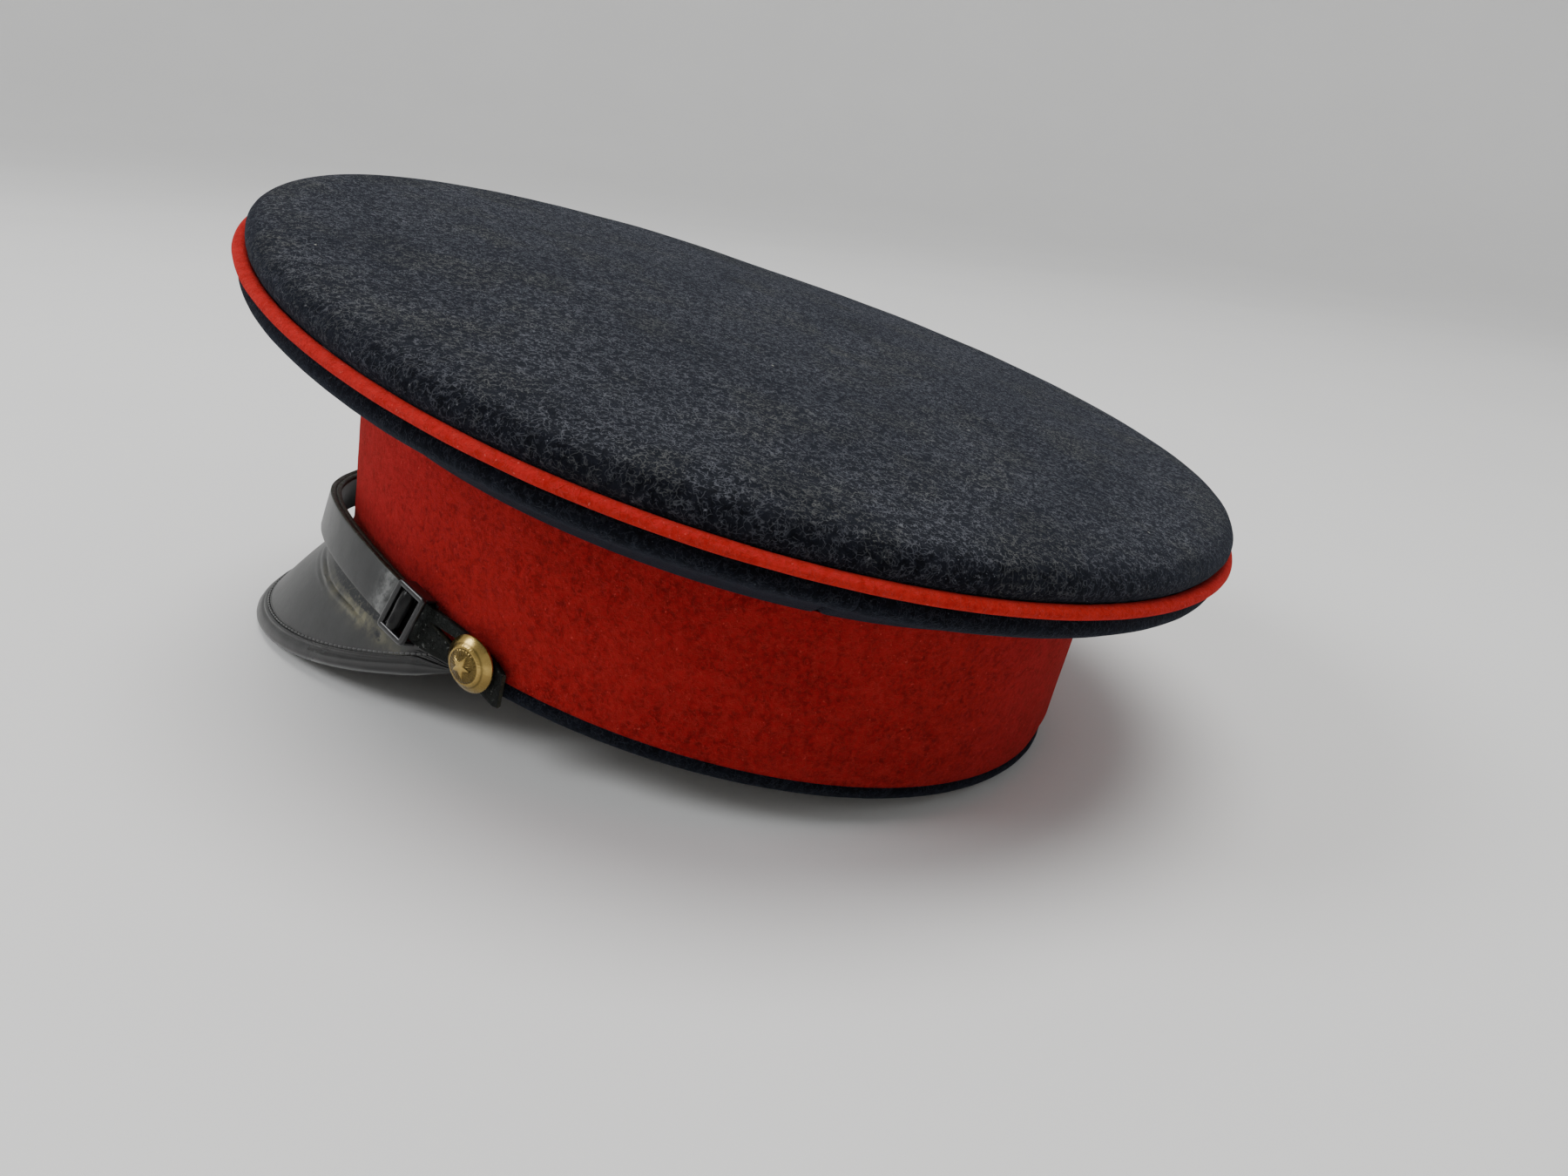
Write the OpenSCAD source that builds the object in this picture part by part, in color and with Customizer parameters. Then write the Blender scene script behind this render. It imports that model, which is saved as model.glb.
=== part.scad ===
// Peaked dress cap of a military uniform, built of separate pieces the way a cap maker assembles one.
// Axes: +Z up through the head opening, -Y towards the wearer's front, +X towards the wearer's left.
// The origin is the centre of the head opening, in the plane of the band's lower edge.
// Angles called "a" run round the cap from +X through +Y (the back).
// Angles called "psi" run from the centre of the front towards the wearer's left.

/* [Head band] */
// Half width of the band at its lower edge
band_half_w = 85; // [82:0.5:88]
// Half length of the band at its lower edge
band_half_l = 102.5; // [99:0.5:106]
// How much wider the band is behind its middle than in front
band_egg = 0.1; // [0.05:0.01:0.12]
// Height of the band cloth
band_h = 46; // [44:0.5:48]
// How much the half axes grow from the lower edge to the top
band_flare = 1; // [0:0.5:2]
// How far the top of the band leans to the front
band_lean = 2; // [0:0.5:3]

/* [Crown] */
// Half width of the crown at the piping
crown_half_w = 123.4; // [120:0.2:126]
// Half length of the crown at the piping
crown_half_l = 129.9; // [127:0.1:132]
// How much wider the crown is behind its middle than in front
crown_egg = 0.03; // [0:0.01:0.05]
// Height of the piping above the band's lower edge
crown_z = 72.5; // [70:0.5:75]
// Tilt of the crown, front upwards, in degrees
crown_tilt = 3.6; // [2:0.2:5]
// Rise of the rim at front and back, and its fall at the sides
crown_sweep = 1.5; // [0:0.5:3]
// Rise of the top at its centre above its edge
crown_dome = 2.5; // [1:0.5:4]
// How far the crown's centre lies in front of the band's
crown_shift = 1.5; // [0:0.5:3]
// Diameter of the piping cord
piping_d = 4; // [3.4:0.2:4.4]
// Angle of the side seams behind the side of the cap, in degrees
seam_a = 28; // [10:1:40]

/* [Peak] */
// Length of the peak at the centre of the front
peak_l = 44.6; // [40:0.2:48]
// Angle where the peak ends, from the centre of the front
peak_end = 72.8; // [71:0.2:74]
// Slope of the peak at the front, below the horizontal
peak_slope = 51.5; // [46:0.5:54]
// Further slope of the peak at its ends
peak_slope_side = 34; // [26:1:36]
// How far the sides of the peak point forwards
peak_forward = 0.34; // [0.2:0.02:0.5]
// Thickness of the moulded peak
peak_t = 1.8; // [1.6:0.1:2.2]
// Width of the rim binding
binding_w = 5.6; // [5:0.2:7]

/* [Chin strap] */
// Width of the strap
strap_w = 10.4; // [10:0.2:11]
// Thickness of one strap layer
strap_t = 1.4; // [1.2:0.1:1.5]
// Centre height of the strap at the front
strap_front_z = 3.4; // [3:0.2:5]
// How far the strap arches up between the front and the buttons
strap_arch = 6.2; // [5:0.2:7]
// Lean of the strap's upper edge towards the band at its slides, in degrees
strap_lean_max = 17; // [12:1:18]
// Slit for the button shank: length
slit_l = 17; // [14:1:18]
// Slit for the button shank: width
slit_w = 3.6; // [3.4:0.1:4]

/* [Buttons] */
// Angle of the side buttons from the centre of the front
button_psi = 75.5; // [75:0.5:76.5]
// Height of the button's centre
button_z = 6; // [5.5:0.5:7]
// Diameter of the button's face
button_d = 14; // [13:0.5:15]
// Radius of the shank
shank_r = 1.5; // [1.2:0.1:1.6]

/* [Hidden] */

around = 60;                    // facets round the cap
turns = [for (i = [0 : around - 1]) 360 * i / around];
cloth_t = 1.2;                  // thickness of the band's cloth
stiffener_t = 1.4;              // thickness of the band's stiffener
pin_room = 2.6;                 // gap behind the stiffener, where the split pins turn
sweatband_t = 1;                // thickness of the leather sweatband
sweatband_h = 38;               // height of the sweatband
welt_h = 3.4;                   // height of the welt at the band's lower edge
welt_stand = 0.8;               // how far the welt stands out from the band's cloth
eyelet_gap = 0.05;              // radial running clearance of the shank
skin = 1.6;                     // thickness of the crown's cloth
stand_button = 1.4;             // gap between band and strap at the buttons
stand_slide = 2.3;              // further gap from the slides forwards
stand_front = 1.2;              // further gap at the centre of the front
rest_a = 3;                     // stretch in front of a button where the strap lies flat, in degrees
release_a = 6.2;                // stretch over which it then comes away from the band, in degrees
front_bend = 15;                // how widely the strap bends at the centre of the front, in degrees
slide_psi = 64;                 // angle of the strap's slides from the centre of the front
slide_l = 10.4;                 // length of a slide along the strap
slide_side = 1.4;               // how far a slide stands out beyond each edge of the strap
slide_t = 1.2;                  // thickness of a slide's bars
tab_a = 4.7;                    // how far the strap runs on past the button, in degrees
tab_drop = 0.8;                 // fall of the strap past the button, per degree
stay_t = 1.2;                   // thickness of the front stay
stay_lean = 0.7;                // forward lean of the front stay above the band
lining_t = 0.6;                 // thickness of the lining
stack_room = 0.4;               // clearance between the straps and a slide
bar_w = 1.6;                    // width of a slide's bars

// ---- ovals, frames and lofts ----

function mix(p, q, t) = p * (1 - t) + q * t;
// Rises smoothly from 0 to 1 as t does.
function ease(t) = let (c = min(1, max(0, t))) c * c * (3 - 2 * c);
function unit(v) = v / norm(v);

// A point of an egg-shaped oval, moved outwards by off.
function oval(a, half_w, half_l, egg, off) =
    let (wide = 1 + egg * sin(a),
         run = [-half_w * sin(a) * wide + half_w * cos(a) * egg * cos(a), half_l * cos(a)],
         n = unit([run.y, -run.x]))
    [half_w * cos(a) * wide + n.x * off, half_l * sin(a) + n.y * off];

// A point of the band's outer face at the height z, moved outwards by off.
function band_at(a, z, off) =
    let (t = z / band_h, grow = band_flare * t,
         p = oval(a, band_half_w + grow, band_half_l + grow, band_egg, off))
    [p.x, p.y - band_lean * t, z];

// The band's outward direction at the angle a.
function band_out(a, z) = let (d = band_at(a, z, 1) - band_at(a, z, 0)) [d.x, d.y, 0];

// Places a point of the untilted crown on the cap.
function tilted(p, z) =
    let (c = cos(crown_tilt), s = sin(crown_tilt))
    [p.x, p.y * c + z * s - crown_shift, crown_z - p.y * s + z * c];

// A point of the crown, from the seam of the piping: off outwards and h upwards, then tilted.
function crown_at(a, off, h) =
    let (p = oval(a, crown_half_w, crown_half_l, crown_egg, off))
    tilted(p, h - crown_sweep * cos(2 * a));

// A point of the crown's top at a share s of the way from its centre to the oval moved by off.
function top_at(a, s, off, h) =
    let (p = oval(a, crown_half_w, crown_half_l, crown_egg, off) * s,
         z = h - crown_sweep * cos(2 * a) * s * s + crown_dome * (1 - s * s))
    tilted(p, z);

// Joins rings of equally many points into one solid, either end to end or capped.
// A capped ring runs out along one face of the piece and back along the other.
module loft(rings, endless = false) {
    n = len(rings[0]);
    m = len(rings);
    sides = [for (i = [0 : (endless ? m - 1 : m - 2)]) for (j = [0 : n - 1])
        let (i2 = (i + 1) % m, j2 = (j + 1) % n)
        each [[i * n + j, i * n + j2, i2 * n + j2], [i * n + j, i2 * n + j2, i2 * n + j]]];
    last = (m - 1) * n;
    caps = endless ? [] : [for (j = [0 : n / 2 - 2])
        let (k = n - 1 - j)
        each [[k - 1, j + 1, j], [k, k - 1, j], [last + j, last + j + 1, last + k - 1],
              [last + j, last + k - 1, last + k]]];
    polyhedron(points = [for (r = rings) each r], faces = concat(sides, caps), convexity = 8);
}

// A closed ring round the cap: outline(a) gives the section's points at the angle a.
module ring(outline, steps = around) {
    loft([for (i = [0 : steps - 1]) outline(360 * i / steps)], endless = true);
}

function tube_section(centre, out, up, r, sides) =
    [for (k = [0 : sides - 1]) centre + out * r * cos(360 * k / sides) + up * r * sin(360 * k / sides)];

// ---- crown ----

// Section of the crown's top at one angle: the padded edge rolls over the seam, then the flat.
edge_roll = [[-0.6, 1], [0.9, 2.6], [1.3, 4.2], [0.7, 6], [-1.2, 7.6], [-4.5, 8.6]];   // off, h
top_shares = [0.86, 0.7, 0.5, 0.3, 0.1];

module crown_top() {
    edge_h = edge_roll[5][1];
    color("midnightblue") {
        outer = [for (e = edge_roll) [for (a = turns) crown_at(a, e[0], e[1])]];
        outer_flat = [for (s = top_shares) [for (a = turns) top_at(a, s, 0, edge_h)]];
        inner_flat = [for (k = [len(top_shares) - 1 : -1 : 0])
            [for (a = turns) top_at(a, top_shares[k], 0, edge_h - skin)]];
        inner = [for (k = [5, 3, 1, 0]) [for (a = turns)
            crown_at(a, edge_roll[k][0] - skin, max(edge_roll[k][1] - (k > 3 ? skin : 0), 1))]];
        shell(concat(outer, outer_flat), concat(inner_flat, inner),
              top_at(0, 0, 0, edge_h), top_at(0, 0, 0, edge_h - skin));
    }
}

// A bowl-shaped solid: rings run from the rim to the outer centre, then from the inner centre to the rim.
module shell(outer, inner, outer_centre, inner_centre) {
    n = len(outer[0]);
    rings = concat(outer, inner);
    m = len(rings);
    split = len(outer) - 1;
    points = concat([for (r = rings) each r], [outer_centre, inner_centre]);
    sides = [for (i = [0 : m - 1]) if (i != split) for (j = [0 : n - 1])
        let (i2 = (i + 1) % m, j2 = (j + 1) % n)
        each [[i * n + j, i2 * n + j, i2 * n + j2], [i * n + j, i2 * n + j2, i * n + j2]]];
    tops = [for (j = [0 : n - 1]) [split * n + j, m * n, split * n + (j + 1) % n]];
    floors = [for (j = [0 : n - 1]) [(split + 1) * n + j, (split + 1) * n + (j + 1) % n, m * n + 1]];
    polyhedron(points = points, faces = concat(sides, tops, floors), convexity = 6);
}

module crown_piping() {
    color("firebrick") ring(function(a)
        let (c = crown_at(a, 1.5, 0))
        tube_section(c, unit(crown_at(a, 2.5, 0) - c), unit(crown_at(a, 1.5, 1) - c), piping_d / 2, 8), 72);
}

// Outer face of a quarter, from the piping round the lower roll and in to the top of the band.
quarter_roll = [[-0.6, -1.4], [0.9, -2.8], [1.4, -4.4], [0.9, -6], [-1.4, -7.4]];      // off, h
function quarter_face(a, inset) =
    let (roll = [for (e = quarter_roll) crown_at(a, e[0] - inset, e[1] + (e[1] < -5 ? inset : 0))],
         foot = band_at(a, band_h + 0.3 + inset, 0.9 - inset * 0.2), start = roll[4])
    concat(roll, [for (t = [0.33, 0.66, 1]) mix(start, foot, t) + [0, 0, 1.2 * sin(180 * t)]]);

module quarter(from_a, to_a) {
    steps = 16;
    joint = 0.12;                                   // half of the seam's width, in degrees
    color("midnightblue") loft([for (i = [0 : steps])
        let (a = from_a + joint + (to_a - from_a - 2 * joint) * i / steps,
             face = quarter_face(a, 0), back = quarter_face(a, skin))
        concat(face, [for (k = [len(back) - 1 : -1 : 0]) back[k]])]);
}
module quarter_rear_left() { quarter(seam_a, 90); }
module quarter_rear_right() { quarter(90, 180 - seam_a); }
module quarter_front_right() { quarter(180 - seam_a, 270); }
module quarter_front_left() { quarter(-90, seam_a); }

// Wadding that fills the roll of the crown's edge.
module crown_padding() {
    color("gainsboro") ring(function(a) [crown_at(a, -2.6, 1.2), crown_at(a, -2.6, 4.4), crown_at(a, -5, 6.4),
        top_at(a, 0.9, 0, edge_roll[5][1] - skin - 0.5), crown_at(a, -14, 4.6), crown_at(a, -8, 1.2)]);
}

hoop_off = -4.8;
hoop_h = -1.6;
hoop_r = 1;
module crown_hoop() {
    color("dimgray") ring(function(a)
        let (c = crown_at(a, hoop_off, hoop_h))
        tube_section(c, unit(crown_at(a, hoop_off + 1, hoop_h) - c), [0, 0, 1], hoop_r, 6));
}

// Brass sleeve that joins the hoop's ends at the back.
module hoop_ferrule() {
    module sleeve(from_a, to_a, r) {
        loft([for (i = [0 : 4])
            let (a = mix(from_a, to_a, i / 4), c = crown_at(a, hoop_off, hoop_h))
            tube_section(c, unit(crown_at(a, hoop_off + 1, hoop_h) - c), [0, 0, 1], r, 10)]);
    }
    color("goldenrod") difference() {
        sleeve(86, 94, hoop_r + 0.5);
        sleeve(85, 95, hoop_r + 0.15);
    }
}

// A point of the front stay: inside the band, then leaning forwards above it.
function stay_at(a, z, in) =
    band_at(a, min(z, band_h), -in) + [0, -stay_lean * max(0, z - band_h), max(0, z - band_h)];

// Stiff stay that props the crown up at the front.
module front_stay() {
    inner_face = cloth_t + stiffener_t + 0.2;
    heights = [22, 34, band_h, 54, 62, 70];
    angles = [-98 : 4 : -82];
    color("tan") loft([for (z = heights)
        let (face = [for (a = angles) stay_at(a, z, inner_face)])
        concat(face, [for (a = [-82 : -4 : -98]) stay_at(a, z, inner_face + stay_t)])]);
}

// ---- band ----

module band_cloth() {
    lo = welt_h + 0.05;
    color("red") difference() {
        ring(function(a) [band_at(a, lo, 0), band_at(a, band_h, 0), band_at(a, band_h, -cloth_t),
                          band_at(a, lo, -cloth_t)]);
        both_sides() at_button() cylinder(r = eyelet_r + 0.05, h = 12, center = true, $fn = 32);
    }
}

module band_welt() {
    inner = -cloth_t + 0.1;
    color("midnightblue") difference() {
        ring(function(a)
            [band_at(a, 0, 0.3), band_at(a, 0.7, welt_stand), band_at(a, welt_h - 0.7, welt_stand),
             band_at(a, welt_h, 0.3), band_at(a, welt_h, inner), band_at(a, 0, inner)]);
        both_sides() at_button() cylinder(r = eyelet_r + 0.9, h = 12, center = true, $fn = 32);
    }
}

module band_stiffener() {
    out = -cloth_t - 0.05;
    in = -cloth_t - stiffener_t;
    color("tan") difference() {
        ring(function(a) [band_at(a, 1, out), band_at(a, band_h - 1, out), band_at(a, band_h - 1, in),
                          band_at(a, 1, in)]);
        both_sides() at_button() cylinder(r = eyelet_r + 0.05, h = 12, center = true, $fn = 32);
    }
}

sweat_out = cloth_t + stiffener_t + pin_room;   // depth of the sweatband's outer face
module sweatband() {
    color("saddlebrown") ring(function(a)
        [band_at(a, 0.8, -sweat_out), band_at(a, sweatband_h, -sweat_out),
         band_at(a, sweatband_h, -sweat_out - sweatband_t), band_at(a, 0.8, -sweat_out - sweatband_t)]);
}

// ---- lining ----

lining_off = -9.5;              // edge of the lining's tip, from the crown's seam
lining_h = -1.2;                // height of the lining's tip, from the crown's seam
module lining_side() {
    foot = sweat_out - 0.6;
    function wall(a, in, lift) = [band_at(a, sweatband_h + 0.2, -foot - in),
                                  band_at(a, band_h + 0.5 + lift, -foot - in),
                                  crown_at(a, lining_off - 0.7 * in, lining_h + lift)];
    color("black") ring(function(a)
        let (out = wall(a, 0, 0), in = wall(a, lining_t, 0.8 * lining_t))
        [out[0], out[1], out[2], in[2], in[1], in[0]]);
}

module lining_tip() {
    disc(lining_off - 0.1, lining_h + 1.2, lining_t, "black", [0.8, 0.5, 0.2], 1);
}

// Clear shield under the middle of the lining's tip.
module sweat_shield() {
    disc(-72, lining_h + 1.2 - lining_t - 0.05, 0.4, "lightyellow", [0.5], 1);
}

// A thin disc that follows the crown's top, its upper face at the height h.
module disc(off, h, t, paint, shares, bow) {
    function at(a, s, z) = top_at(a, s, off, z);
    outer = [for (s = concat([1], shares)) [for (a = turns) at(a, s, h)]];
    inner = [for (k = [len(shares) : -1 : 0]) [for (a = turns) at(a, concat([1], shares)[k], h - t)]];
    color(paint) shell(outer, inner, at(0, 0, h), at(0, 0, h - t));
}

// ---- peak ----

function peak_reach(psi) = peak_l * pow(cos(90 * psi / peak_end), 1.08);
function peak_fall(psi) = peak_slope + peak_slope_side * pow(psi / peak_end, 2);
function peak_dir(psi) =
    let (n = band_out(psi - 90, 0), d = unit([n.x, n.y - peak_forward, 0]), f = peak_fall(psi))
    [d.x * cos(f), d.y * cos(f), -sin(f)];
function peak_top(psi, s) = band_at(psi - 90, -0.1, 0.2) + peak_dir(psi) * s * peak_reach(psi);
// The upward normal of the peak's face.
function peak_up(psi) =
    let (step = peak_top(psi + 0.5, 0.6) - peak_top(psi - 0.5, 0.6), v = cross(step, peak_dir(psi)))
    unit(v.z < 0 ? -v : v);
// A point of the peak, out along its fall from the rim and up from its face.
function peak_rim(psi, out, up) = peak_top(psi, 1) + peak_dir(psi) * out + peak_up(psi) * up;

last_psi = peak_end - 1.2;
peak_angles = [for (i = [-20 : 20]) last_psi * i / 20];
peak_shares = [0, 0.25, 0.5, 0.75, 1];          // shares of the way out across the peak
leathercloth_t = 0.6;                           // thickness of the peak's lining

module peak_body() {
    color("black") loft([for (psi = peak_angles)
        let (up = peak_up(psi))
        concat([for (s = peak_shares) peak_top(psi, s)],
               [for (k = [4 : -1 : 0]) peak_top(psi, peak_shares[k]) - up * peak_t])]);
}

module peak_lining() {
    depth = peak_t + 0.15;
    lining_end = peak_end - 5;
    color("darkslategray") loft([for (i = [-20 : 20])
        let (psi = lining_end * i / 20)
        let (up = peak_up(psi), face = [for (s = peak_shares) peak_top(psi, mix(0.05, 0.97, s)) - up * depth])
        concat(face, [for (k = [4 : -1 : 0]) face[k] - up * leathercloth_t])]);
}

// Section of the binding: out along the fall from the rim, and up from the peak's face.
lip = -peak_t - leathercloth_t - 0.35;          // inner face of the binding, under the peak
binding = [[-binding_w, 0.5], [-1, 0.8], [0.7, 0.5], [1.5, -0.5], [1.5, lip + 0.5], [0.7, lip - 0.4],
           [-1, lip - 0.6], [1 - binding_w, lip - 0.5], [1 - binding_w, lip], [-1, lip], [0.1, lip],
           [0.1, -2], [0.1, -1], [0.1, 0.05], [-1, 0.05], [-binding_w, 0.05]];
module peak_binding() {
    color("black") loft([for (psi = peak_angles)
        let (size = min(1, peak_reach(psi) / (binding_w + 2)))
        [for (p = binding) peak_rim(psi, p[0] * size, p[1] * (p[1] > 0 ? size : 1))]]);
}

// ---- chin strap ----

// Height of the strap's middle: low at the front, arched at the sides, falling through the buttons.
function soft_psi(psi) = sqrt(psi * psi + front_bend * front_bend) - front_bend;
function strap_z(psi) =
    let (t = min(1, soft_psi(psi) / soft_psi(button_psi)))
    mix(strap_front_z, button_z, t) + strap_arch * sin(180 * t) - tab_drop * max(0, abs(psi) - button_psi);
// 0 where the strap lies against the band at its buttons, and 1 from the slides forwards.
function released(psi) = ease((button_psi - rest_a - abs(psi)) / release_a);
function strap_gap(psi) = stand_button + stand_slide * released(psi) + stand_front * pow(cos(psi), 2);
function strap_lean(psi) = strap_lean_max * ease(abs(psi) / 55) * released(psi);

// A point of the strap: v up across it from its middle, depth out from its inner face.
function strap_at(psi, v, depth) =
    let (lean = strap_lean(psi), n = band_out(psi - 90, 0),
         middle = band_at(psi - 90, strap_z(psi), strap_gap(psi)))
    middle + v * [-n.x * sin(lean), -n.y * sin(lean), cos(lean)]
           + depth * [n.x * cos(lean), n.y * cos(lean), sin(lean)];

// Half width of the strap, which narrows to a blunt end. past is 0 where that starts and 1 at the end.
function strap_half(past) = strap_w / 2 * (1 - 0.3 * past);
function strap_section(psi, past, depth) =
    let (h = strap_half(past))
    [strap_at(psi, -h, depth), strap_at(psi, -h, depth + strap_t),
     strap_at(psi, h, depth + strap_t), strap_at(psi, h, depth)];

strap_last = button_psi + tab_a;
taper_from = button_psi + 2;    // angle where the strap's end starts to narrow
taper_a = strap_last - taper_from;
layer_step = strap_t + 0.1;     // from one strap layer to the next
// Both straps share their stations, so that their faces follow each other.
stations = [for (i = [-45 : 45]) button_psi * i / 45];
inner_run = concat([2 - slide_psi], [for (psi = stations) if (psi > 3 - slide_psi) psi],
                   [taper_from, strap_last]);
outer_run = concat([-strap_last, -taper_from], [for (psi = stations) if (psi < slide_psi - 2) psi],
                   [slide_psi - 1]);
// The outer strap drops towards the band where the inner one has ended.
function outer_depth(psi) = layer_step * ease((psi + button_psi - 1) / 8);

module strap_inner() {
    color("black") difference() {
        loft([for (psi = inner_run) strap_section(psi, max(0, (psi - taper_from) / taper_a), 0)]);
        slit();
    }
}

module strap_outer() {
    color("black") {
        difference() {
            loft([for (psi = outer_run)
                strap_section(psi, max(0, (-psi - taper_from) / taper_a), outer_depth(psi))]);
            mirror([1, 0, 0]) slit();
        }
        both_sides() at_slide() slide_roll();
    }
}

// The strap's rise over a slide's middle bar.
module slide_roll() {
    inner_r = 1.1;
    below = 20;
    difference() {
        translate([0, 0, bar_level]) rotate([90, 0, 0])
            cylinder(r = inner_r + strap_t, h = strap_w - 1, center = true, $fn = 40);
        translate([0, 0, bar_level]) rotate([90, 0, 0])
            cylinder(r = inner_r, h = strap_w, center = true, $fn = 32);
        translate([0, 0, 2 * layer_step - 0.15 - below / 2]) cube(below, center = true);
    }
}

// Long buttonhole in a strap's end, cut square to the band at the left button.
module slit() {
    at_button() rotate([0, 0, 90 - slope]) hull() for (x = [-1, 1])
        translate([x * (slit_l - slit_w) / 2 - slit_l / 2 + slit_w, 0, 0])
            cylinder(d = slit_w, h = 14, center = true, $fn = 24);
}

// ---- frames for pieces on the left side, mirrored for the right side ----

button_a = button_psi - 90;
slope = 16;                     // fall of the strap through the button, in degrees
passage = 2 * strap_t + 0.1 + 2 * stack_room;
bar_level = passage - stack_room + slide_t / 2;

module both_sides() {
    children();
    mirror([1, 0, 0]) children();
}

// Local z points out of the band, local x downwards, from the band's face at a button's centre.
// A side of 1 is the left button, and -1 the right one.
module at_button(side = 1) {
    n = band_out(button_a, button_z);
    p = band_at(button_a, button_z, 0);
    translate([side * p.x, p.y, p.z]) rotate([0, 0, atan2(n.y, side * n.x)]) rotate([0, 90, 0]) children();
}

// Local z points out of the strap, local x along it towards its end, local y up across it.
module at_slide() {
    half_a = 2.6;
    p = strap_at(slide_psi, 0, 0);
    x = unit(strap_at(slide_psi + half_a, 0, 0) - strap_at(slide_psi - half_a, 0, 0));
    z = unit(cross(x, strap_at(slide_psi, 1, 0) - p));
    y = cross(z, x);
    multmatrix([[x.x, y.x, z.x, p.x], [x.y, y.y, z.y, p.y], [x.z, y.z, z.z, p.z]]) children();
}

module slide() {
    back_t = 0.5;
    window_l = (slide_l - 3 * bar_w) / 2;
    slide_h = strap_w + 2 * slide_side;
    color("black") at_slide() difference() {
        translate([-slide_l / 2, -slide_h / 2, -stack_room - back_t])
            cube([slide_l, slide_h, back_t + passage + slide_t]);
        translate([-slide_l, -strap_w / 2 - stack_room, -stack_room])
            cube([2 * slide_l, strap_w + 2 * stack_room, passage]);
        for (x = [-1, 1]) translate([x * (window_l + bar_w) / 2, 0, passage])
            cube([window_l, strap_w + 0.4, 8], center = true);
        translate([0, 0, -stack_room - back_t]) cube([slide_l - 4, strap_w + 0.4, 3 * back_t], center = true);
    }
}
module slide_left() { slide(); }
module slide_right() { mirror([1, 0, 0]) slide(); }

// ---- buttons ----

eyelet_r = 2.4;                 // outside of the eyelet's barrel
back_level = strap_gap(button_psi) + strap_t + 0.6;
pin_level = -cloth_t - stiffener_t - pin_room / 2;
pin_r = 0.4;
pin_l = 6.4;                    // length of the pin's legs
pin_eye_r = 1;                  // radius of the pin's eye

module eyelet() {
    color("goldenrod") at_button() difference() {
        union() {
            translate([0, 0, -cloth_t - stiffener_t - 0.3])
                cylinder(r = eyelet_r, h = cloth_t + stiffener_t + 0.4, $fn = 40);
            translate([0, 0, 0.1]) cylinder(r = eyelet_r + 0.8, h = 0.4, $fn = 40);
        }
        cylinder(r = shank_r + eyelet_gap, h = 12, center = true, $fn = 40);
    }
}
module eyelet_left() { eyelet(); }
module eyelet_right() { mirror([1, 0, 0]) eyelet(); }

dome_h = 3.7;
dome_r = (pow(button_d / 2, 2) + dome_h * dome_h) / (2 * dome_h);
shell_t = 0.5;
// Domed face with an edge that turns in behind the back plate.
module button_shell() {
    edge = asin(button_d / 2 / dome_r);
    edge_h = 0.6;
    top = dome_h + edge_h;
    arc = function(r) [for (k = [0 : 10]) let (t = edge * k / 10) [r * sin(t), r * cos(t) - dome_r + top]];
    outer = arc(dome_r);
    inner = arc(dome_r - shell_t);
    color("goldenrod") at_button() translate([0, 0, back_level]) rotate_extrude($fn = 64)
        polygon(concat(outer, [[button_d / 2, 0], [inner[10].x, 0]], [for (k = [10 : -1 : 0]) inner[k]]));
}
module button_shell_left() { button_shell(); }
module button_shell_right() { mirror([1, 0, 0]) button_shell(); }

// Back plate and shank, with a cross hole for the split pin.
module button_back() {
    color("peru") at_button() difference() {
        union() {
            translate([0, 0, back_level + 0.05]) cylinder(r = button_d / 2 - 1.2, h = 0.7, $fn = 48);
            translate([0, 0, pin_level - 1])
                cylinder(r = shank_r, h = back_level - pin_level + 1.4, $fn = 40);
        }
        translate([0, 0, pin_level]) rotate([90, 0, 0])
            cylinder(r = pin_r + 0.05, h = 8, center = true, $fn = 20);
    }
}
module button_back_left() { button_back(); }
module button_back_right() { mirror([1, 0, 0]) button_back(); }

// Wire pin through the shank behind the stiffener, with an eye at one end.
module split_pin(side) {
    color("darkgoldenrod") at_button(side) translate([0, 0, pin_level]) {
        rotate([90, 0, 0]) cylinder(r = pin_r, h = pin_l, center = true, $fn = 20);
        translate([0, pin_l / 2 + pin_eye_r - pin_r / 2, 0])
            rotate_extrude($fn = 32) translate([pin_eye_r, 0]) circle(r = pin_r, $fn = 16);
    }
}
module split_pin_left() { split_pin(1); }
module split_pin_right() { split_pin(-1); }

crown_top();
crown_piping();
quarter_front_left();
quarter_rear_left();
quarter_rear_right();
quarter_front_right();
crown_padding();
crown_hoop();
hoop_ferrule();
front_stay();
band_cloth();
band_welt();
band_stiffener();
sweatband();
lining_side();
lining_tip();
sweat_shield();
peak_body();
peak_lining();
peak_binding();
eyelet_left();
eyelet_right();
strap_outer();
strap_inner();
slide_left();
slide_right();
button_shell_left();
button_shell_right();
button_back_left();
button_back_right();
split_pin_left();
split_pin_right();
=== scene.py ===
"""Looks of a military peaked cap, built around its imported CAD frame.

Lengths are millimetres, and become metres where a mesh, a texture or the camera is made. Lamps are in metres.
The frame's axes: +Z up, -Y to the wearer's front, +X to the wearer's left.
Angles called a run round the cap from +X through +Y (the back); psi runs from the front, so a = psi - 90.
"""

import math

import bmesh
import bpy
import numpy as np
from mathutils import Matrix, Vector, noise


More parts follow.
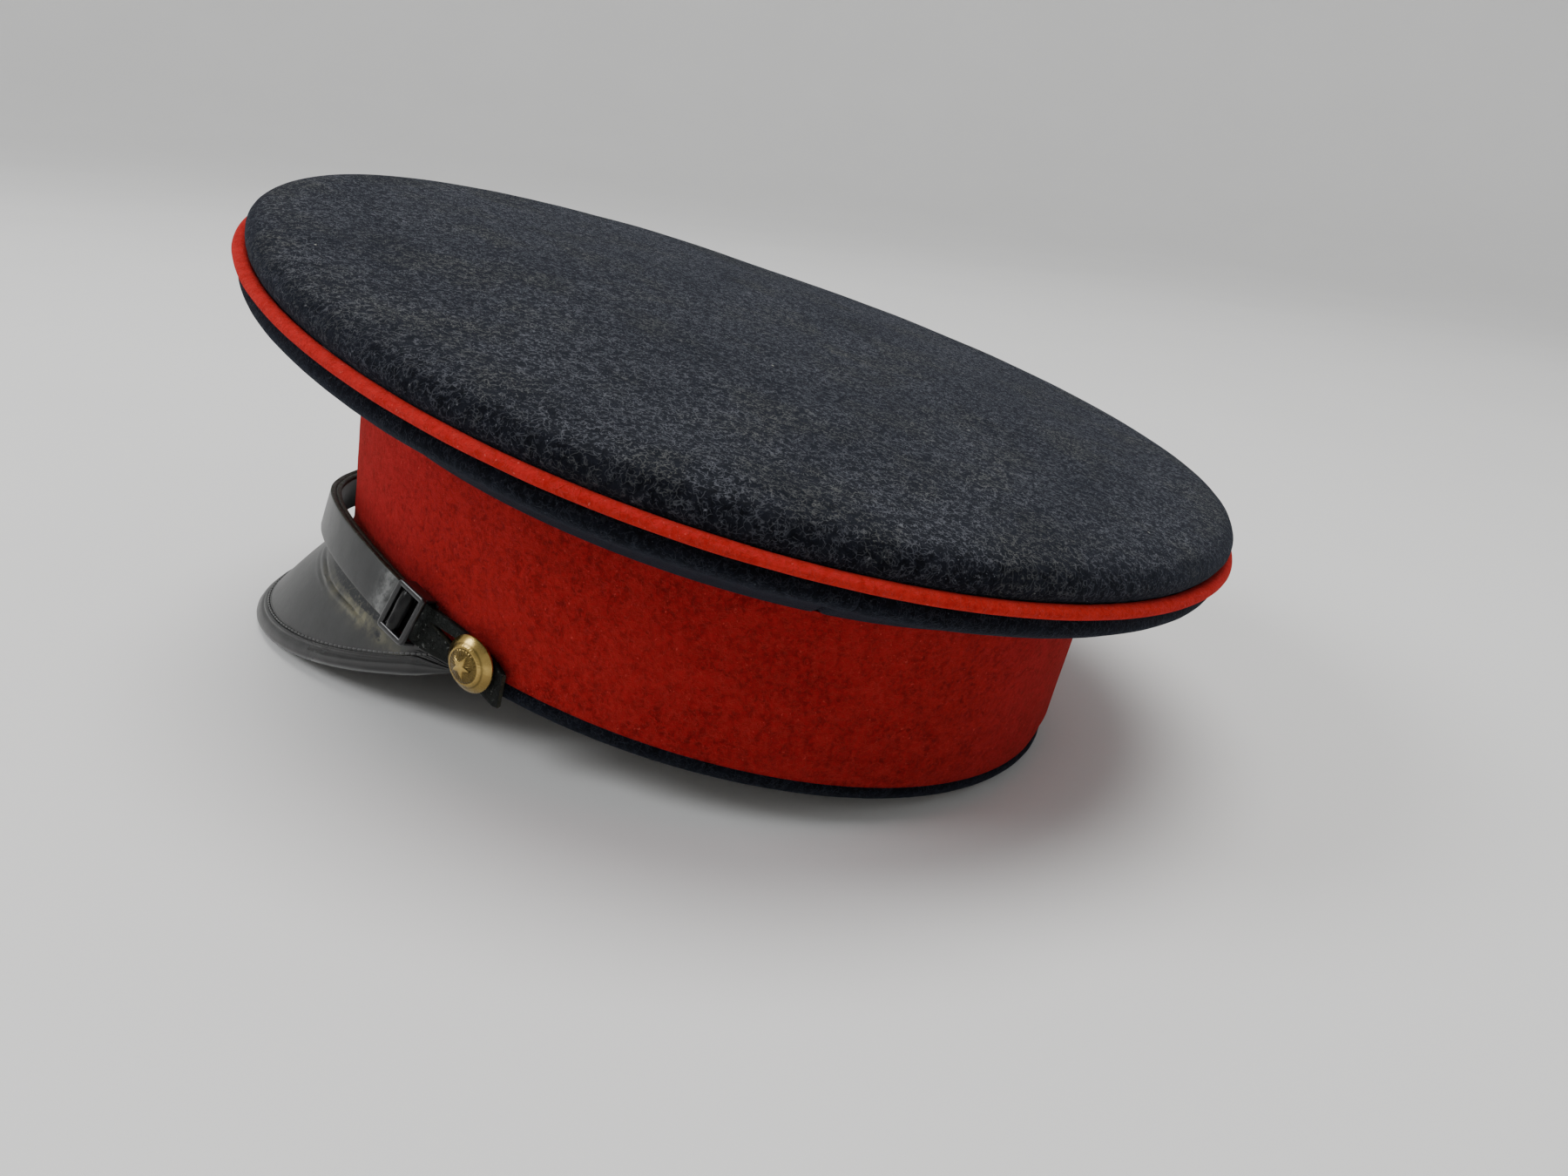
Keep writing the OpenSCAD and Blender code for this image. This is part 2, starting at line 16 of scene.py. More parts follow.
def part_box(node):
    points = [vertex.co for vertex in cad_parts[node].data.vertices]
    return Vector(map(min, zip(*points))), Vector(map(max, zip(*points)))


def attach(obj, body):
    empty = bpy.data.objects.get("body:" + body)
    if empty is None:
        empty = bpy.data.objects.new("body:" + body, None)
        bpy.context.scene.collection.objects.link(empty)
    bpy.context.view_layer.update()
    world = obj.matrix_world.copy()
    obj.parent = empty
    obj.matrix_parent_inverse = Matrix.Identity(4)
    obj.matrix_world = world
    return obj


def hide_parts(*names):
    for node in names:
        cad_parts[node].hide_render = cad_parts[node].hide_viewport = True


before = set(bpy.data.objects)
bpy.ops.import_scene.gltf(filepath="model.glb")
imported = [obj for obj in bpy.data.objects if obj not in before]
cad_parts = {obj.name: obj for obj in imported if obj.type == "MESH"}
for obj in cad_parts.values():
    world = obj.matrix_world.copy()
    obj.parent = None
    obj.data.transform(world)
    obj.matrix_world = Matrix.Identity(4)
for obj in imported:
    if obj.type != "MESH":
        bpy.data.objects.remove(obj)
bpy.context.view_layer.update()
MM = 0.001
UP = np.array([0.0, 0.0, 1.0])

# ---- driving dimensions, as in the CAD source ----

BAND_W, BAND_L, BAND_EGG = 85.0, 102.5, 0.1
BAND_H, BAND_FLARE, BAND_LEAN = 46.0, 1.0, 2.0
CROWN_W, CROWN_L, CROWN_EGG = 123.4, 129.9, 0.03
CROWN_Z, CROWN_TILT, CROWN_SWEEP, CROWN_DOME = 72.5, 3.6, 1.5, 2.5
CROWN_SHIFT = 1.5
PIPING_D = 4.0
SEAM_A = 28.0
PEAK_L, PEAK_END, PEAK_SLOPE, PEAK_SLOPE_SIDE, PEAK_FORWARD, PEAK_T = 44.6, 72.8, 51.5, 34.0, 0.34, 1.8
LEATHERCLOTH_T, BINDING_W = 0.6, 5.6
STRAP_W, STRAP_T, STRAP_FRONT_Z, STRAP_ARCH, STRAP_LEAN = 10.4, 1.4, 3.4, 6.2, 17.0
STAND_BUTTON, STAND_SLIDE, STAND_FRONT, REST_A, RELEASE_A, FRONT_BEND = 1.4, 2.3, 1.2, 3.0, 6.2, 15.0
TAB_A, TAB_DROP = 4.7, 0.8
SLIDE_PSI, SLIDE_L, SLIDE_SIDE, STACK_ROOM = 64.0, 10.4, 1.4, 0.4
BUTTON_PSI, BUTTON_Z, BUTTON_D = 75.5, 6.0, 14.0
CLOTH_T, STIFFENER_T, PIN_ROOM, SWEATBAND_T, SWEATBAND_H = 1.2, 1.4, 2.6, 1.0, 38.0
LINING_OFF, LINING_H, LINING_T = -9.5, -1.2, 0.6
WELT_H = 3.4
SLIT_SLOPE, SLIT_L, SLIT_W = 16.0, 17.0, 3.6


# ---- shape helpers ----

def cosd(a):
    return np.cos(np.radians(a))


def sind(a):
    return np.sin(np.radians(a))


def step(t):
    """Smooth step from 0 to 1."""
    t = np.clip(t, 0.0, 1.0)
    return t * t * (3 - 2 * t)


def arrays(*values):
    return np.broadcast_arrays(*(np.asarray(v, float) for v in values))


def bell(x, middle, width):
    """A smooth bump: 1 at the middle, and next to nothing two widths away."""
    return np.exp(-((x - middle) / width) ** 2)


def unit(v):
    return v / np.linalg.norm(v, axis=-1, keepdims=True)


def grid(a, b):
    return np.meshgrid(a, b, indexing="ij")


def whole_turn(count):
    """Angles evenly round a circle."""
    return np.linspace(0, 360, count, endpoint=False)


def oval(a, half_w, half_l, egg, off):
    """x and y of an egg-shaped oval, moved outwards by off. Arguments may be arrays."""
    wide = 1 + egg * sind(a)
    run_x = -half_w * sind(a) * wide + half_w * cosd(a) * egg * cosd(a)
    run_y = half_l * cosd(a)
    size = np.hypot(run_x, run_y)
    return half_w * cosd(a) * wide + run_y / size * off, half_l * sind(a) - run_x / size * off


def band_at(a, z, off):
    """A point of the band's outer face, moved outwards by off. The lowest part curls in at the back."""
    a, z, off = arrays(a, z, off)
    t = z / BAND_H
    behind = step((sind(a) + 0.35) / 1.1)
    curl = 2.2 * behind * np.clip(1 - z / 10, 0, 1.4) ** 2
    bulge = 0.7 * behind * step((z - 34) / 12)
    x, y = oval(a, BAND_W + BAND_FLARE * t, BAND_L + BAND_FLARE * t, BAND_EGG, off - curl + bulge)
    return np.stack([x, y - BAND_LEAN * t, z], -1)


def band_out(a, z):
    """The direction out of the band."""
    flare = BAND_FLARE * z / BAND_H
    x0, y0 = oval(a, BAND_W + flare, BAND_L + flare, BAND_EGG, 0)
    x1, y1 = oval(a, BAND_W + flare, BAND_L + flare, BAND_EGG, 1)
    return np.stack([x1 - x0, y1 - y0, 0 * (x1 - x0)], -1)


def tilted(x, y, z):
    """A place in the crown's own tilted frame."""
    c, s = cosd(CROWN_TILT), sind(CROWN_TILT)
    return np.stack([x, y * c + z * s - CROWN_SHIFT, CROWN_Z - y * s + z * c], -1)


def crown_at(a, off, h):
    """A point of the crown, off outwards and h upwards from the seam of the piping."""
    a, off, h = arrays(a, off, h)
    x, y = oval(a, CROWN_W, CROWN_L, CROWN_EGG, off)
    return tilted(x, y, h - CROWN_SWEEP * cosd(2 * a))


def top_at(a, share, off, h, dome=CROWN_DOME):
    """A point of the crown's top, at a share of the way out from its centre."""
    a, share, h = arrays(a, share, h)
    x, y = oval(a, CROWN_W, CROWN_L, CROWN_EGG, off)
    return tilted(x * share, y * share, h - CROWN_SWEEP * cosd(2 * a) * share ** 2 + dome * (1 - share ** 2))


def smooth_line(points, count, closed=False):
    """A Catmull-Rom curve through points, sampled count times at even steps of its parameter."""
    p = np.asarray(points, float)
    n = len(p)
    spans = n if closed else n - 1
    t = np.linspace(0, spans, count, endpoint=not closed)
    i = np.minimum(t.astype(int), spans - 1)
    u = (t - i)[:, None]
    pick = (lambda k: p[(i + k) % n]) if closed else (lambda k: p[np.clip(i + k, 0, n - 1)])
    p0, p1, p2, p3 = pick(-1), pick(0), pick(1), pick(2)
    return 0.5 * (2 * p1 + (p2 - p0) * u + (2 * p0 - 5 * p1 + 4 * p2 - p3) * u ** 2
                  + (3 * p1 - p0 - 3 * p2 + p3) * u ** 3)


def ripple(points, size, seed=0.0):
    """Smooth noise from -1 to 1 at each point, with features about size millimetres wide."""
    flat = points.reshape(-1, 3) / size + seed
    return np.array([noise.noise(Vector(p)) for p in flat]).reshape(points.shape[:-1])


# ---- mesh helpers ----

def grid_faces(rows, cols, wrap_rows, wrap_cols):
    """Four-sided faces between the points of a grid, which may close on itself either way."""
    i, j = grid(np.arange(rows if wrap_rows else rows - 1), np.arange(cols if wrap_cols else cols - 1))
    i2, j2 = (i + 1) % rows, (j + 1) % cols
    return np.stack([i * cols + j, i * cols + j2, i2 * cols + j2, i2 * cols + j], -1).reshape(-1, 4)


def tube_faces(rows, cols):
    """Faces of a tube with flat ends."""
    return [*grid_faces(rows, cols, False, True), range(cols)[::-1], range((rows - 1) * cols, rows * cols)]


def strip_caps(rows, cols):
    """End faces for rings that run out along one face of a piece and back along the other."""
    j = np.arange(cols // 2 - 1)
    k = cols - 1 - j
    start = np.stack([k, k - 1, j + 1, j], -1)
    end = np.stack([j, j + 1, k - 1, k], -1) + (rows - 1) * cols
    return np.concatenate([start, end])


def build(name, points, faces, materials, sharp=50, marks=None):
    """A mesh object from points in millimetres and a list of faces."""
    mesh = bpy.data.meshes.new(name)
    places = (np.asarray(points).reshape(-1, 3) * MM).tolist()
    mesh.from_pydata(places, [], [list(map(int, f)) for f in faces])
    mesh.validate()
    obj = bpy.data.objects.new(name, mesh)
    bpy.context.scene.collection.objects.link(obj)
    for m in materials if isinstance(materials, (list, tuple)) else [materials]:
        mesh.materials.append(m)
    for key, values in (marks or {}).items():
        layer = mesh.attributes.new(key, "FLOAT", "POINT")
        layer.data.foreach_set("value", np.asarray(values, np.float32).ravel())
    fix_normals(mesh)
    mesh.shade_smooth()
    mesh.set_sharp_from_angle(angle=math.radians(sharp))
    return obj


def fix_normals(mesh):
    bm = bmesh.new()
    bm.from_mesh(mesh)
    bmesh.ops.recalc_face_normals(bm, faces=bm.faces)
    bm.to_mesh(mesh)
    bm.free()


def ring_piece(name, points, materials, **kw):
    """A piece that closes on itself both round the cap and round its section. points: (round, section, 3)."""
    rows, cols = points.shape[:2]
    return build(name, points, grid_faces(rows, cols, True, True), materials, **kw)


def bar_piece(name, points, materials, **kw):
    """A capped piece. points: (along, section, 3), a section going out on one face and back on the other."""
    rows, cols = points.shape[:2]
    faces = np.concatenate([grid_faces(rows, cols, False, True), strip_caps(rows, cols)])
    return build(name, points, faces, materials, **kw)


def bowl_piece(name, outer, inner, outer_centre, inner_centre, materials, **kw):
    """A closed bowl. outer: rings from rim to centre, inner: from centre to rim, each (rings, round, 3)."""
    rings = np.concatenate([outer, inner])
    m, n = rings.shape[:2]
    split = len(outer) - 1
    faces = [f for k, f in enumerate(grid_faces(m, n, True, True)) if k // n != split]
    faces += [(split * n + j, split * n + (j + 1) % n, m * n) for j in range(n)]
    faces += [((split + 1) * n + (j + 1) % n, (split + 1) * n + j, m * n + 1) for j in range(n)]
    points = np.concatenate([rings.reshape(-1, 3), [outer_centre, inner_centre]])
    return build(name, points, faces, materials, **kw)


def join(name, parts):
    """Joins several objects into one piece."""
    for o in bpy.context.selected_objects:
        o.select_set(False)
    for o in parts:
        o.select_set(True)
    bpy.context.view_layer.objects.active = parts[0]
    bpy.ops.object.join()
    parts[0].name = name
    parts[0].data.name = name
    return parts[0]


def finish_piece(obj, body, slot, *nodes):
    """Says what body a piece rides on and the CAD nodes that it stands for, which it hides. slot is not used.
    """
    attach(obj, body)
    if nodes:
        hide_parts(*nodes)


# ---- material helpers ----

def per_mm(size):
    """A texture's scale for features of a size in millimetres."""
    return 1 / (size * MM)


class Paint:
    """A procedural material, written as a chain of small calls."""

    def __init__(self, name, **sockets):
        self.material = bpy.data.materials.new(name)
        self.material.use_nodes = True
        self.tree = self.material.node_tree
        self.shader = self.tree.nodes["Principled BSDF"]
        for key, value in sockets.items():
            self.shader.inputs[key.replace("_", " ")].default_value = value
        self.place = self.tree.nodes.new("ShaderNodeTexCoord").outputs["Object"]

    def node(self, kind, inputs=None, **settings):
        made = self.tree.nodes.new("ShaderNode" + kind)
        for key, value in settings.items():
            setattr(made, key, value)
        for key, value in (inputs or {}).items():
            if isinstance(value, bpy.types.NodeSocket):
                self.tree.links.new(value, made.inputs[key])
            else:
                made.inputs[key].default_value = value
        return made

    def noise(self, size, detail=3.0, rough=0.55, twist=0.0):
        """Noise with features about size millimetres wide."""
        made = self.node("TexNoise", {"Vector": self.place, "Scale": per_mm(size), "Detail": detail,
                                      "Roughness": rough, "Distortion": twist})
        return made.outputs["Fac"]

    def warped(self, size, amount):
        """The place, pushed about by noise: amount millimetres, in swirls of the given size."""
        made = self.node("TexNoise", {"Vector": self.place, "Scale": per_mm(size), "Detail": 2.0})
        push = self.node("VectorMath", {0: made.outputs["Color"], 1: [amount * MM] * 3}, operation="MULTIPLY")
        return self.node("VectorMath", {0: self.place, 1: push.outputs[0]}, operation="ADD").outputs[0]

    def cells(self, size, place, **settings):
        """Distance within cells about size millimetres wide, in the texture's own units."""
        made = self.node("TexVoronoi", {"Vector": place, "Scale": per_mm(size)}, **settings)
        return made.outputs["Distance"]

    def hairs(self, size, width, place):
        """Thin lines along the cells' borders: 1 on a line and 0 between them."""
        return self.remap(self.cells(size, place, feature="DISTANCE_TO_EDGE"), 0.0, width, 1.0, 0.0)

    def curls(self, size, width):
        """Loose curved lines of one width, where a noise field crosses its middle value."""
        away = self.sum(self.sum(self.noise(size, 1.5), 0.5, "SUBTRACT"), 0.0, "ABSOLUTE")
        return self.remap(away, 0.0, width, 1.0, 0.0)

    def remap(self, value, low, high, to_low=0.0, to_high=1.0):
        return self.node("MapRange", {0: value, 1: low, 2: high, 3: to_low, 4: to_high}).outputs[0]

    def sum(self, a, b, operation="ADD"):
        return self.node("Math", {0: a, 1: b}, operation=operation).outputs[0]

    def times(self, a, b):
        return self.sum(a, b, "MULTIPLY")

    def mix(self, share, a, b):
        made = self.node("Mix", data_type="RGBA")
        for socket, value in ((made.inputs[0], share), (made.inputs[6], a), (made.inputs[7], b)):
            if isinstance(value, bpy.types.NodeSocket):
                self.tree.links.new(value, socket)
            else:
                socket.default_value = value if socket == made.inputs[0] else (*value, 1.0)
        return made.outputs[2]

    def over(self, under, tint, where, share):
        """A tint laid over a colour, as far as where and share say."""
        return self.mix(self.times(where, share), under, tint)

    def attribute(self, name):
        return self.node("Attribute", attribute_name=name).outputs["Fac"]

    def facing_up(self, low, high):
        """1 where the surface faces up, 0 where it is steeper."""
        normal = self.node("NewGeometry").outputs["Normal"]
        return self.remap(self.node("SeparateXYZ", {0: normal}).outputs[2], low, high)

    def colour(self, socket):
        self.tree.links.new(socket, self.shader.inputs["Base Color"])

    def rough(self, socket):
        self.tree.links.new(socket, self.shader.inputs["Roughness"])

    def bump(self, height, depth, strength=1.0):
        """Bump of the given depth in millimetres. Calls add up."""
        made = self.node("Bump", {"Height": height, "Distance": depth * MM, "Strength": strength})
        before = self.shader.inputs["Normal"].links
        if before:
            self.tree.links.new(before[0].from_socket, made.inputs["Normal"])
        self.tree.links.new(made.outputs[0], self.shader.inputs["Normal"])


def wool(name, dark, base, pale, hair, hair_amount, sheen=(0.1, (1, 1, 1, 1)), dusty=None, patches=None):
    """Milled wool with a curled nap: dark pits, pale fibres, and dust and lint on what faces up.

    dusty: the colours of the film, of its fibres and of the lint, and how much the fibres show there.
    patches: the colour of faded patches, and how much they show.
    """
    p = Paint(name, Roughness=0.95, Sheen_Weight=sheen[0], Sheen_Roughness=0.5, Sheen_Tint=sheen[1],
              Specular_IOR_Level=0.06)
    felt = p.noise(1.3, 5.0, 0.72, 0.5)
    tuft = p.noise(3.6, 3.0, 0.6, 0.8)
    colour = p.mix(p.remap(felt, 0.4, 0.6), dark, base)
    colour = p.over(colour, pale, p.remap(tuft, 0.42, 0.66), 0.7)
    if patches:
        colour = p.over(colour, patches[0], p.remap(p.noise(34.0, 4.0, 0.6), 0.42, 0.66), patches[1])
    nap = p.times(p.hairs(2.0, 0.06, p.warped(2.6, 3.0)), p.remap(p.noise(1.7, 2.0), 0.49, 0.56))
    fine = p.times(p.hairs(1.1, 0.09, p.warped(1.5, 1.8)), p.remap(p.noise(1.3, 2.0), 0.48, 0.58))
    curls = p.times(p.curls(1.7, 0.022), p.remap(p.noise(2.4, 2.0), 0.45, 0.55))
    nap = p.sum(p.sum(nap, fine, "MAXIMUM"), curls, "MAXIMUM")
    if dusty:
        film, film_hair, lint_colour, film_hair_amount = dusty
        reach = p.times(p.facing_up(0.8, 0.985), p.remap(p.noise(26.0, 3.0), 0.34, 0.62, 0.5, 1.0))
        colour = p.over(colour, film, reach, 0.3)
        hair = p.over(hair, film_hair, p.remap(p.noise(19.0, 4.0), 0.48, 0.62), 0.7)
        hair_amount = p.remap(reach, 0.0, 1.0, hair_amount, film_hair_amount)
    colour = p.over(colour, hair, nap, hair_amount)
    colour = p.over(colour, hair, p.remap(p.noise(0.8, 1.0, 0.5), 0.74, 0.77), 0.7)
    if dusty:
        lint = p.remap(p.cells(12.0, p.warped(1.5, 0.8)), 0.022, 0.034, 1.0, 0.0)
        colour = p.mix(p.times(lint, p.remap(p.noise(17.0, 2.0), 0.5, 0.53)), colour, lint_colour)
    p.colour(colour)
    p.bump(felt, 0.45, 0.9)
    p.bump(tuft, 0.35, 0.5)
    p.bump(nap, 0.14, 0.8)
    return p.material


def patent(name, base, dust_colour, dust, rough=(0.34, 0.6), coat=0.35, marks=(), clean=False, specular=0.45,
           coat_rough=0.3):
    """Patent leather or its plastic likeness, dulled by dust and scuffs.

    marks: attributes of the mesh, each with its tint, its share and the size of its ragged edge.
    clean: whether the attribute clean says where it is wiped bright.
    """
    p = Paint(name, Coat_Weight=coat, Coat_Roughness=coat_rough, Specular_IOR_Level=specular)
    grain = p.noise(0.7, 3.0, 0.6)
    film = p.times(p.remap(p.noise(9.0, 6.0, 0.68), 0.3, 0.72, 0.35, 1.0), p.facing_up(-0.2, 0.75))
    film = p.times(film, p.remap(p.noise(30.0, 3.0), 0.36, 0.64, 0.72, 1.0))
    if clean:
        film = p.times(film, p.remap(p.attribute("clean"), 0.0, 1.0, 1.0, 0.1))
    scratch = p.times(p.hairs(9.0, 0.006, p.warped(16.0, 9.0)), p.remap(p.noise(8.0, 2.0), 0.5, 0.62))
    fleck = p.remap(p.noise(0.8, 2.0, 0.5), 0.7, 0.76)
    colour = base
    for where, share in ((film, dust), (scratch, 0.3), (fleck, 0.25)):
        colour = p.over(colour, dust_colour, where, share)
    for key, tint, share, size in marks:
        ragged = p.times(p.attribute(key), p.remap(p.noise(size, 5.0, 0.7), 0.36, 0.62))
        colour = p.over(colour, tint, ragged, share)
    p.colour(colour)
    p.rough(p.remap(p.sum(film, p.times(grain, 0.4)), 0.2, 1.3, *rough))
    p.bump(grain, 0.04, 0.5)
    p.bump(p.noise(5.0, 2.0), 0.25, 0.35)
    return p.material


def cracked(name, base, dust_colour, bloom_share=0.45, specular=0.3):
    """Old leather without its gloss: dull, finely cracked, with grey bloom and pale flecks."""
    p = Paint(name, Specular_IOR_Level=specular)
    cracks = p.hairs(1.2, 0.06, p.warped(2.2, 1.6))
    bloom = p.remap(p.noise(2.2, 5.0, 0.7), 0.42, 0.75)
    fleck = p.remap(p.noise(0.9, 3.0, 0.6), 0.62, 0.68)
    colour = p.over(base, dust_colour, bloom, bloom_share)
    colour = p.over(colour, (0.004, 0.004, 0.004), cracks, 0.7)
    colour = p.over(colour, (0.17, 0.18, 0.17), fleck, 0.6)
    p.colour(colour)
    p.rough(p.remap(bloom, 0.0, 1.0, 0.55, 0.9))
    p.bump(cracks, -0.15, 0.9)
    p.bump(p.noise(1.2, 4.0, 0.7), 0.22, 0.8)
    return p.material


def metal(name, bright, tarnish, rough=(0.28, 0.55), marks=()):
    """Polished metal with patches of tarnish. marks: attributes of the mesh, each with its tint and share."""
    p = Paint(name, Metallic=1.0)
    stain = p.remap(p.noise(3.5, 5.0, 0.65), 0.35, 0.7)
    colour = p.over(bright, tarnish, stain, 0.6)
    for key, tint, share in marks:
        colour = p.over(colour, tint, p.attribute(key), share)
    p.colour(colour)
    p.rough(p.remap(stain, 0.0, 1.0, *rough))
    p.bump(p.noise(0.5, 3.0), 0.02, 0.5)
    return p.material


def woven(name, thread, gap, pitch=0.55, rough=0.8, sheen=0.1):
    """Woven cloth, from crossed sets of threads. A wave texture repeats every 0.314 / Scale."""
    p = Paint(name, Roughness=rough, Sheen_Weight=sheen)
    inputs = {"Vector": p.place, "Scale": 0.314 / (pitch * MM), "Distortion": 0.4, "Detail": 1.0}
    waves = [p.node("TexWave", inputs, bands_direction=d).outputs["Fac"] for d in "XYZ"]
    weave = p.sum(p.times(waves[0], waves[1]), waves[2], "MAXIMUM")
    worn = p.remap(p.noise(18.0, 4.0), 0.35, 0.7)
    faded = tuple(min(1, c * 1.5 + 0.02) for c in thread)
    p.colour(p.over(p.mix(weave, gap, thread), faded, worn, 0.2))
    p.bump(weave, 0.12, 0.6)
    return p.material


def leather(name, base, dark, rough=(0.4, 0.65)):
    """Plain leather or leathercloth with pores and stains."""
    p = Paint(name, Specular_IOR_Level=0.4)
    stain = p.remap(p.noise(16.0, 5.0, 0.65), 0.35, 0.72)
    p.colour(p.mix(stain, base, dark))
    p.rough(p.remap(stain, 0.0, 1.0, *rough))
    p.bump(p.cells(0.9, p.place), 0.1, 0.7)
    p.bump(p.noise(6.0, 3.0), 0.25, 0.5)
    return p.material


# ---- camera, floor and light ----

VIEW_AZIMUTH, VIEW_ELEVATION, VIEW_DISTANCE = 105.0, 14.735, 349.0
VIEW_PAN, VIEW_TILT, VIEW_ROLL = -3.579, -7.034, -14.614
VIEW_CENTRE_Z = 60.0
LENS = 29.12


def turned(v, axis, degrees):
    """A vector turned about a unit axis."""
    c, s = cosd(degrees), sind(degrees)
    return v * c + np.cross(axis, v) * s + axis * (axis @ v) * (1 - c)


def make_camera():
    a, e = VIEW_AZIMUTH, VIEW_ELEVATION
    back = np.array([sind(a) * cosd(e), -cosd(a) * cosd(e), sind(e)])
    forward = -back
    right = unit(np.cross(forward, UP))
    up = np.cross(right, forward)
    forward, right = turned(forward, up, VIEW_PAN), turned(right, up, VIEW_PAN)
    forward, up = turned(forward, right, VIEW_TILT), turned(up, right, VIEW_TILT)
    right, up = turned(right, forward, VIEW_ROLL), turned(up, forward, VIEW_ROLL)
    data = bpy.data.cameras.new("photo_view")
    data.lens = LENS
    data.clip_start, data.clip_end = 0.01, 50
    cam = bpy.data.objects.new("photo_view", data)
    place = (back * VIEW_DISTANCE + UP * VIEW_CENTRE_Z) * MM
    rows = [[right[i], up[i], -forward[i], place[i]] for i in range(3)]
    cam.matrix_world = Matrix([*rows, [0, 0, 0, 1]])
    bpy.context.scene.collection.objects.link(cam)
    bpy.context.scene.camera = cam


def area_light(name, place, aim, size, power, colour=(1, 1, 1)):
    data = bpy.data.lights.new(name, "AREA")
    data.shape = "DISK"
    data.size, data.energy, data.color = size, power, colour
    light = bpy.data.objects.new(name, data)
    light.location = place
    light.rotation_mode = "QUATERNION"
    light.rotation_quaternion = (Vector(aim) - Vector(place)).to_track_quat("-Z", "Y")
    bpy.context.scene.collection.objects.link(light)


def make_stage():
    """A pale floor, curving up into a wall. It leans, so the peak's rim and the band's back rest on it."""
    peak_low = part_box("peak_binding")[0]
    band_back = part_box("band_welt")[1].y
    lean = math.atan2(-peak_low.z, band_back - peak_low.y)
    radii = np.array([0, 400, 1200, 2000, 2500, 2850, 3050, 3120, 3150])
    rises = np.array([0, 0, 0, 0, 60, 240, 560, 1100, 3400])
    line = smooth_line(np.stack([radii, rises], -1), 60)
    turns = whole_turn(96)
    radius, rise = line[1:, :1], line[1:, 1:]
    points = np.stack([radius * cosd(turns), radius * sind(turns), rise + 0 * turns], -1)
    faces = [tuple(range(len(turns)))] + list(grid_faces(len(radius), len(turns), False, True))
    p = Paint("stage_grey", Roughness=0.9, Specular_IOR_Level=0.1)
    clouds = p.remap(p.noise(220.0, 3.0), 0.3, 0.7)
    p.colour(p.over((0.86, 0.855, 0.845), (0.9, 0.895, 0.885), clouds, 0.5))
    floor = build("floor", points, faces, p.material)
    floor.rotation_euler.x = lean
    floor.location = (0, band_back, 0)


def light_scene():
    """Soft light all round, a large lamp overhead, and a smaller one as a window to the front."""
    world = bpy.data.worlds.new("room")
    bpy.context.scene.world = world
    world.use_nodes = True
    background = world.node_tree.nodes["Background"].inputs
    background["Color"].default_value = (0.93, 0.96, 1.0, 1)
    background["Strength"].default_value = 0.38
    area_light("ceiling", (0.1, -0.3, 2.2), (0, 0, 0.05), 1.6, 35, (1.0, 0.99, 0.97))
    area_light("window", (0.9, -1.7, 1.1), (0, 0, 0.03), 0.9, 21, (0.96, 0.98, 1.0))


make_camera()
make_stage()
light_scene()

# ---- materials ----

NAVY_SHEEN = (0.08, (0.5, 0.58, 0.8, 1))
RED_SHEEN = (0.22, (1.0, 0.13, 0.09, 1))
NAVY = wool("navy_wool", (0.0009, 0.001, 0.0018), (0.0044, 0.005, 0.0085), (0.008, 0.0088, 0.013),
            (0.158, 0.163, 0.184), 0.34, NAVY_SHEEN,
            dusty=((0.0255, 0.0265, 0.03), (0.16065, 0.16165, 0.138), (0.42, 0.42, 0.36), 0.95))
NAVY_CLEAN = wool("navy_wool_edge", (0.0008, 0.0009, 0.0016), (0.003, 0.0036, 0.0066),
                  (0.005, 0.006, 0.01), (0.05, 0.055, 0.065), 0.3, NAVY_SHEEN)
RED = wool("red_wool", (0.14, 0.0032, 0.0042), (0.31, 0.0092, 0.012), (0.35, 0.012, 0.0145),
           (0.55, 0.06, 0.045), 0.16, RED_SHEEN, patches=((0.38, 0.016, 0.018), 0.3))
PIPING = wool("red_felt", (0.34, 0.01, 0.01), (0.44, 0.017, 0.017), (0.48, 0.021, 0.02),
              (0.6, 0.09, 0.07), 0.16, RED_SHEEN)
# The peak's second mark is painted shade: a dark navy line where the gap under the strap's lower edge lies in
# shadow. The gouge's pit is painted dark with it.
PEAK = patent("peak_patent", (0.007, 0.007, 0.0075), (0.074, 0.076, 0.075), 0.85, coat=0.12, specular=0.26,
              marks=(("root_dust", (0.16, 0.15, 0.095), 0.85, 3.6),
                     ("gap_shade_and_dark_pit", (0.004, 0.005, 0.008), 1.0, 1.0)))
BINDING = patent("binding_patent", (0.005, 0.005, 0.006), (0.05, 0.052, 0.051), 0.8, rough=(0.3, 0.55),
                 coat=0.2, clean=True, specular=0.3)
BINDING_WIPED = patent("binding_wiped", (0.002, 0.002, 0.0025), (0.04, 0.041, 0.04), 0.28,
                       rough=(0.1, 0.24), coat=0.5, specular=0.15, coat_rough=0.07)
UNDERSIDE = leather("peak_leathercloth", (0.012, 0.022, 0.016), (0.02, 0.03, 0.024), (0.5, 0.7))
STRAP = patent("strap_patent", (0.008, 0.008, 0.009), (0.066, 0.068, 0.067), 0.85, coat=0.15, specular=0.32,
               marks=(("scuff", (0.22, 0.225, 0.22), 0.75, 2.2),))
